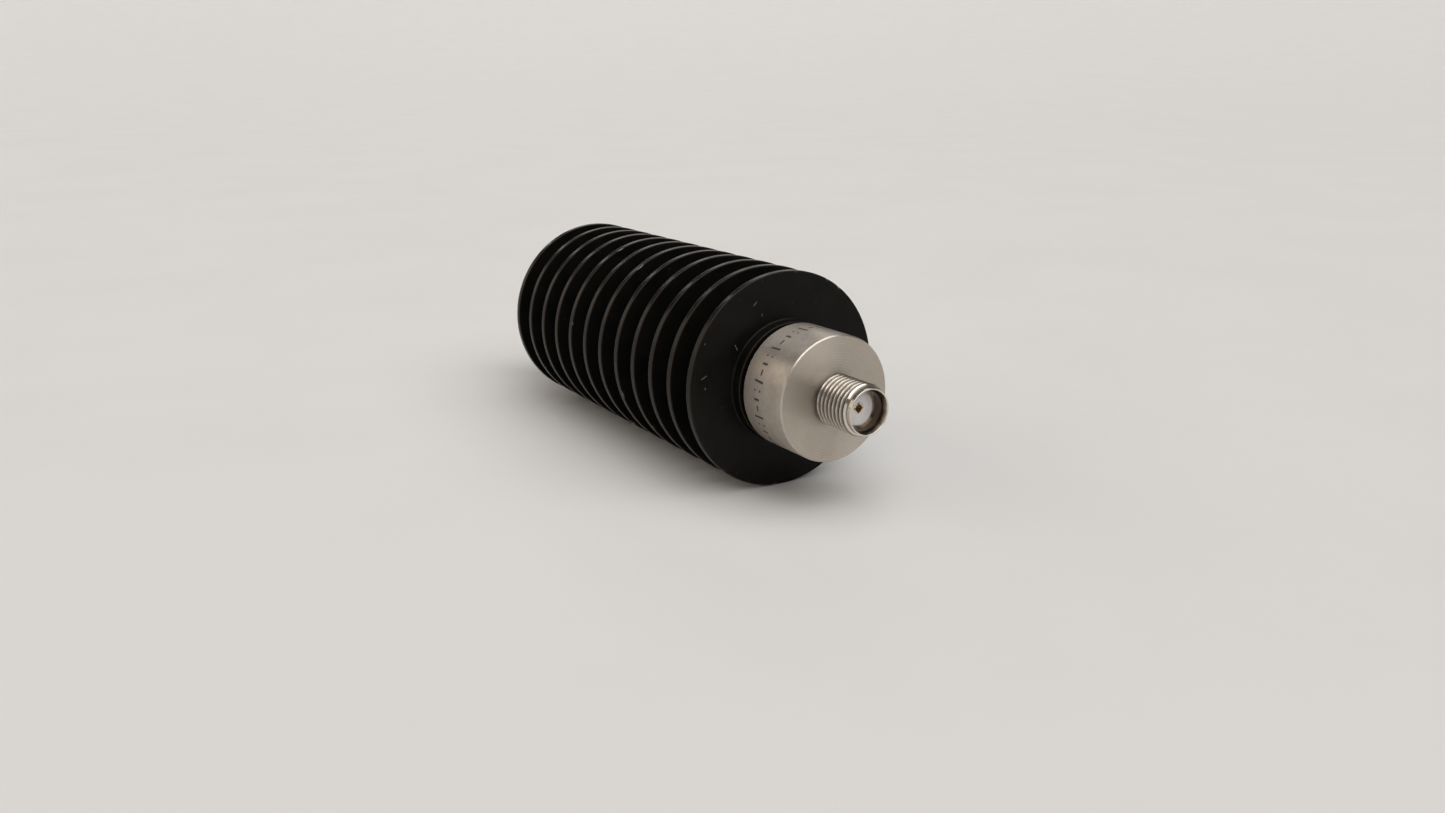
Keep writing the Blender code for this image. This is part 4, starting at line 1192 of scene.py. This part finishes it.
# Lit windows in the dome's dim band, behind the part: their span round the X axis, in degrees
# from +Y, their span in x, their glow and their tint
WINDOWS = (
    (89, 94, -0.94, -0.79, 5.5, (1.0, 0.97, 0.94)),
    (38, 58, -0.94, -0.45, 1.3, (1.0, 0.98, 0.96)),
    (129, 165, -0.95, 0.15, 1.2, (1.0, 0.9, 0.8)),
)
WINDOW_TURN_EDGE = math.radians(2)
WINDOW_X_EDGE = 0.02


def between(value, low, high, edge):
    """1 between low and high, falling softly to 0 across each edge."""
    rise = remap(value, low - edge, low + edge)
    fall = remap(value, high - edge, high + edge, 1.0, 0.0)
    return times(rise, fall)


def make_dome():
    """Studio dome: the pale backdrop along its rim, a dim band with lit windows, a pale top.

    A window is the product of a soft span in the angle round the X axis and one in x. The
    camera sees the plain backdrop wherever it looks past the floor's far edge, and metal
    mirrors that backdrop as high as the camera can see it.
    """
    world = bpy.data.worlds.new("studio")
    world.use_nodes = True
    tree = world.node_tree
    way = add(tree, "TexCoord").outputs["Generated"]
    x, y, z = add(tree, "SeparateXYZ", {0: way}).outputs
    turn = calc("ARCTAN2", z, y)
    rays = add(tree, "LightPath").outputs
    mirrored = largest(rays["Is Glossy Ray"], rays["Is Transmission Ray"])
    height = minus(z, times(mirrored, MIRRORED_RISE))
    colour = mixed(remap(height, *RIM_HEIGHTS), BACKDROP, DIM_BAND)
    colour = mixed(remap(z, *TOP_HEIGHTS), colour, PALE_TOP)
    for low_turn, high_turn, low_x, high_x, strength, tint in WINDOWS:
        turns = (math.radians(low_turn), math.radians(high_turn))
        round_axis = between(turn, *turns, WINDOW_TURN_EDGE)
        along_axis = between(x, low_x, high_x, WINDOW_X_EDGE)
        glow = [strength * channel for channel in tint]
        colour = mixed(times(round_axis, along_axis), colour, glow)
    colour = mixed(rays["Is Camera Ray"], colour, BACKDROP)
    plug(tree.nodes["Background"].inputs["Color"], colour)
    bpy.context.scene.world = world


OVERHEAD_STRENGTH = 2.65
OVERHEAD_SPREAD = math.radians(76)
OVERHEAD_TILT = (math.radians(-2), math.radians(29), 0.0)


def make_light():
    """Soft studio light, a very broad lamp overhead and the dome, with a plain view."""
    overhead = bpy.data.lights.new("overhead", "SUN")
    overhead.energy = OVERHEAD_STRENGTH
    overhead.angle = OVERHEAD_SPREAD
    overhead.color = (1.0, 0.985, 0.965)
    stand("overhead", overhead).rotation_euler = OVERHEAD_TILT
    make_dome()
    bpy.context.scene.view_settings.view_transform = "Standard"


make_camera()
make_heat_sink()
make_front_barrel()
make_front_nose()
make_rear_barrel()
make_coupling_nut()
make_insulators()
make_pin()
make_gasket()
finish_inner_nodes()
make_floor()
make_light()
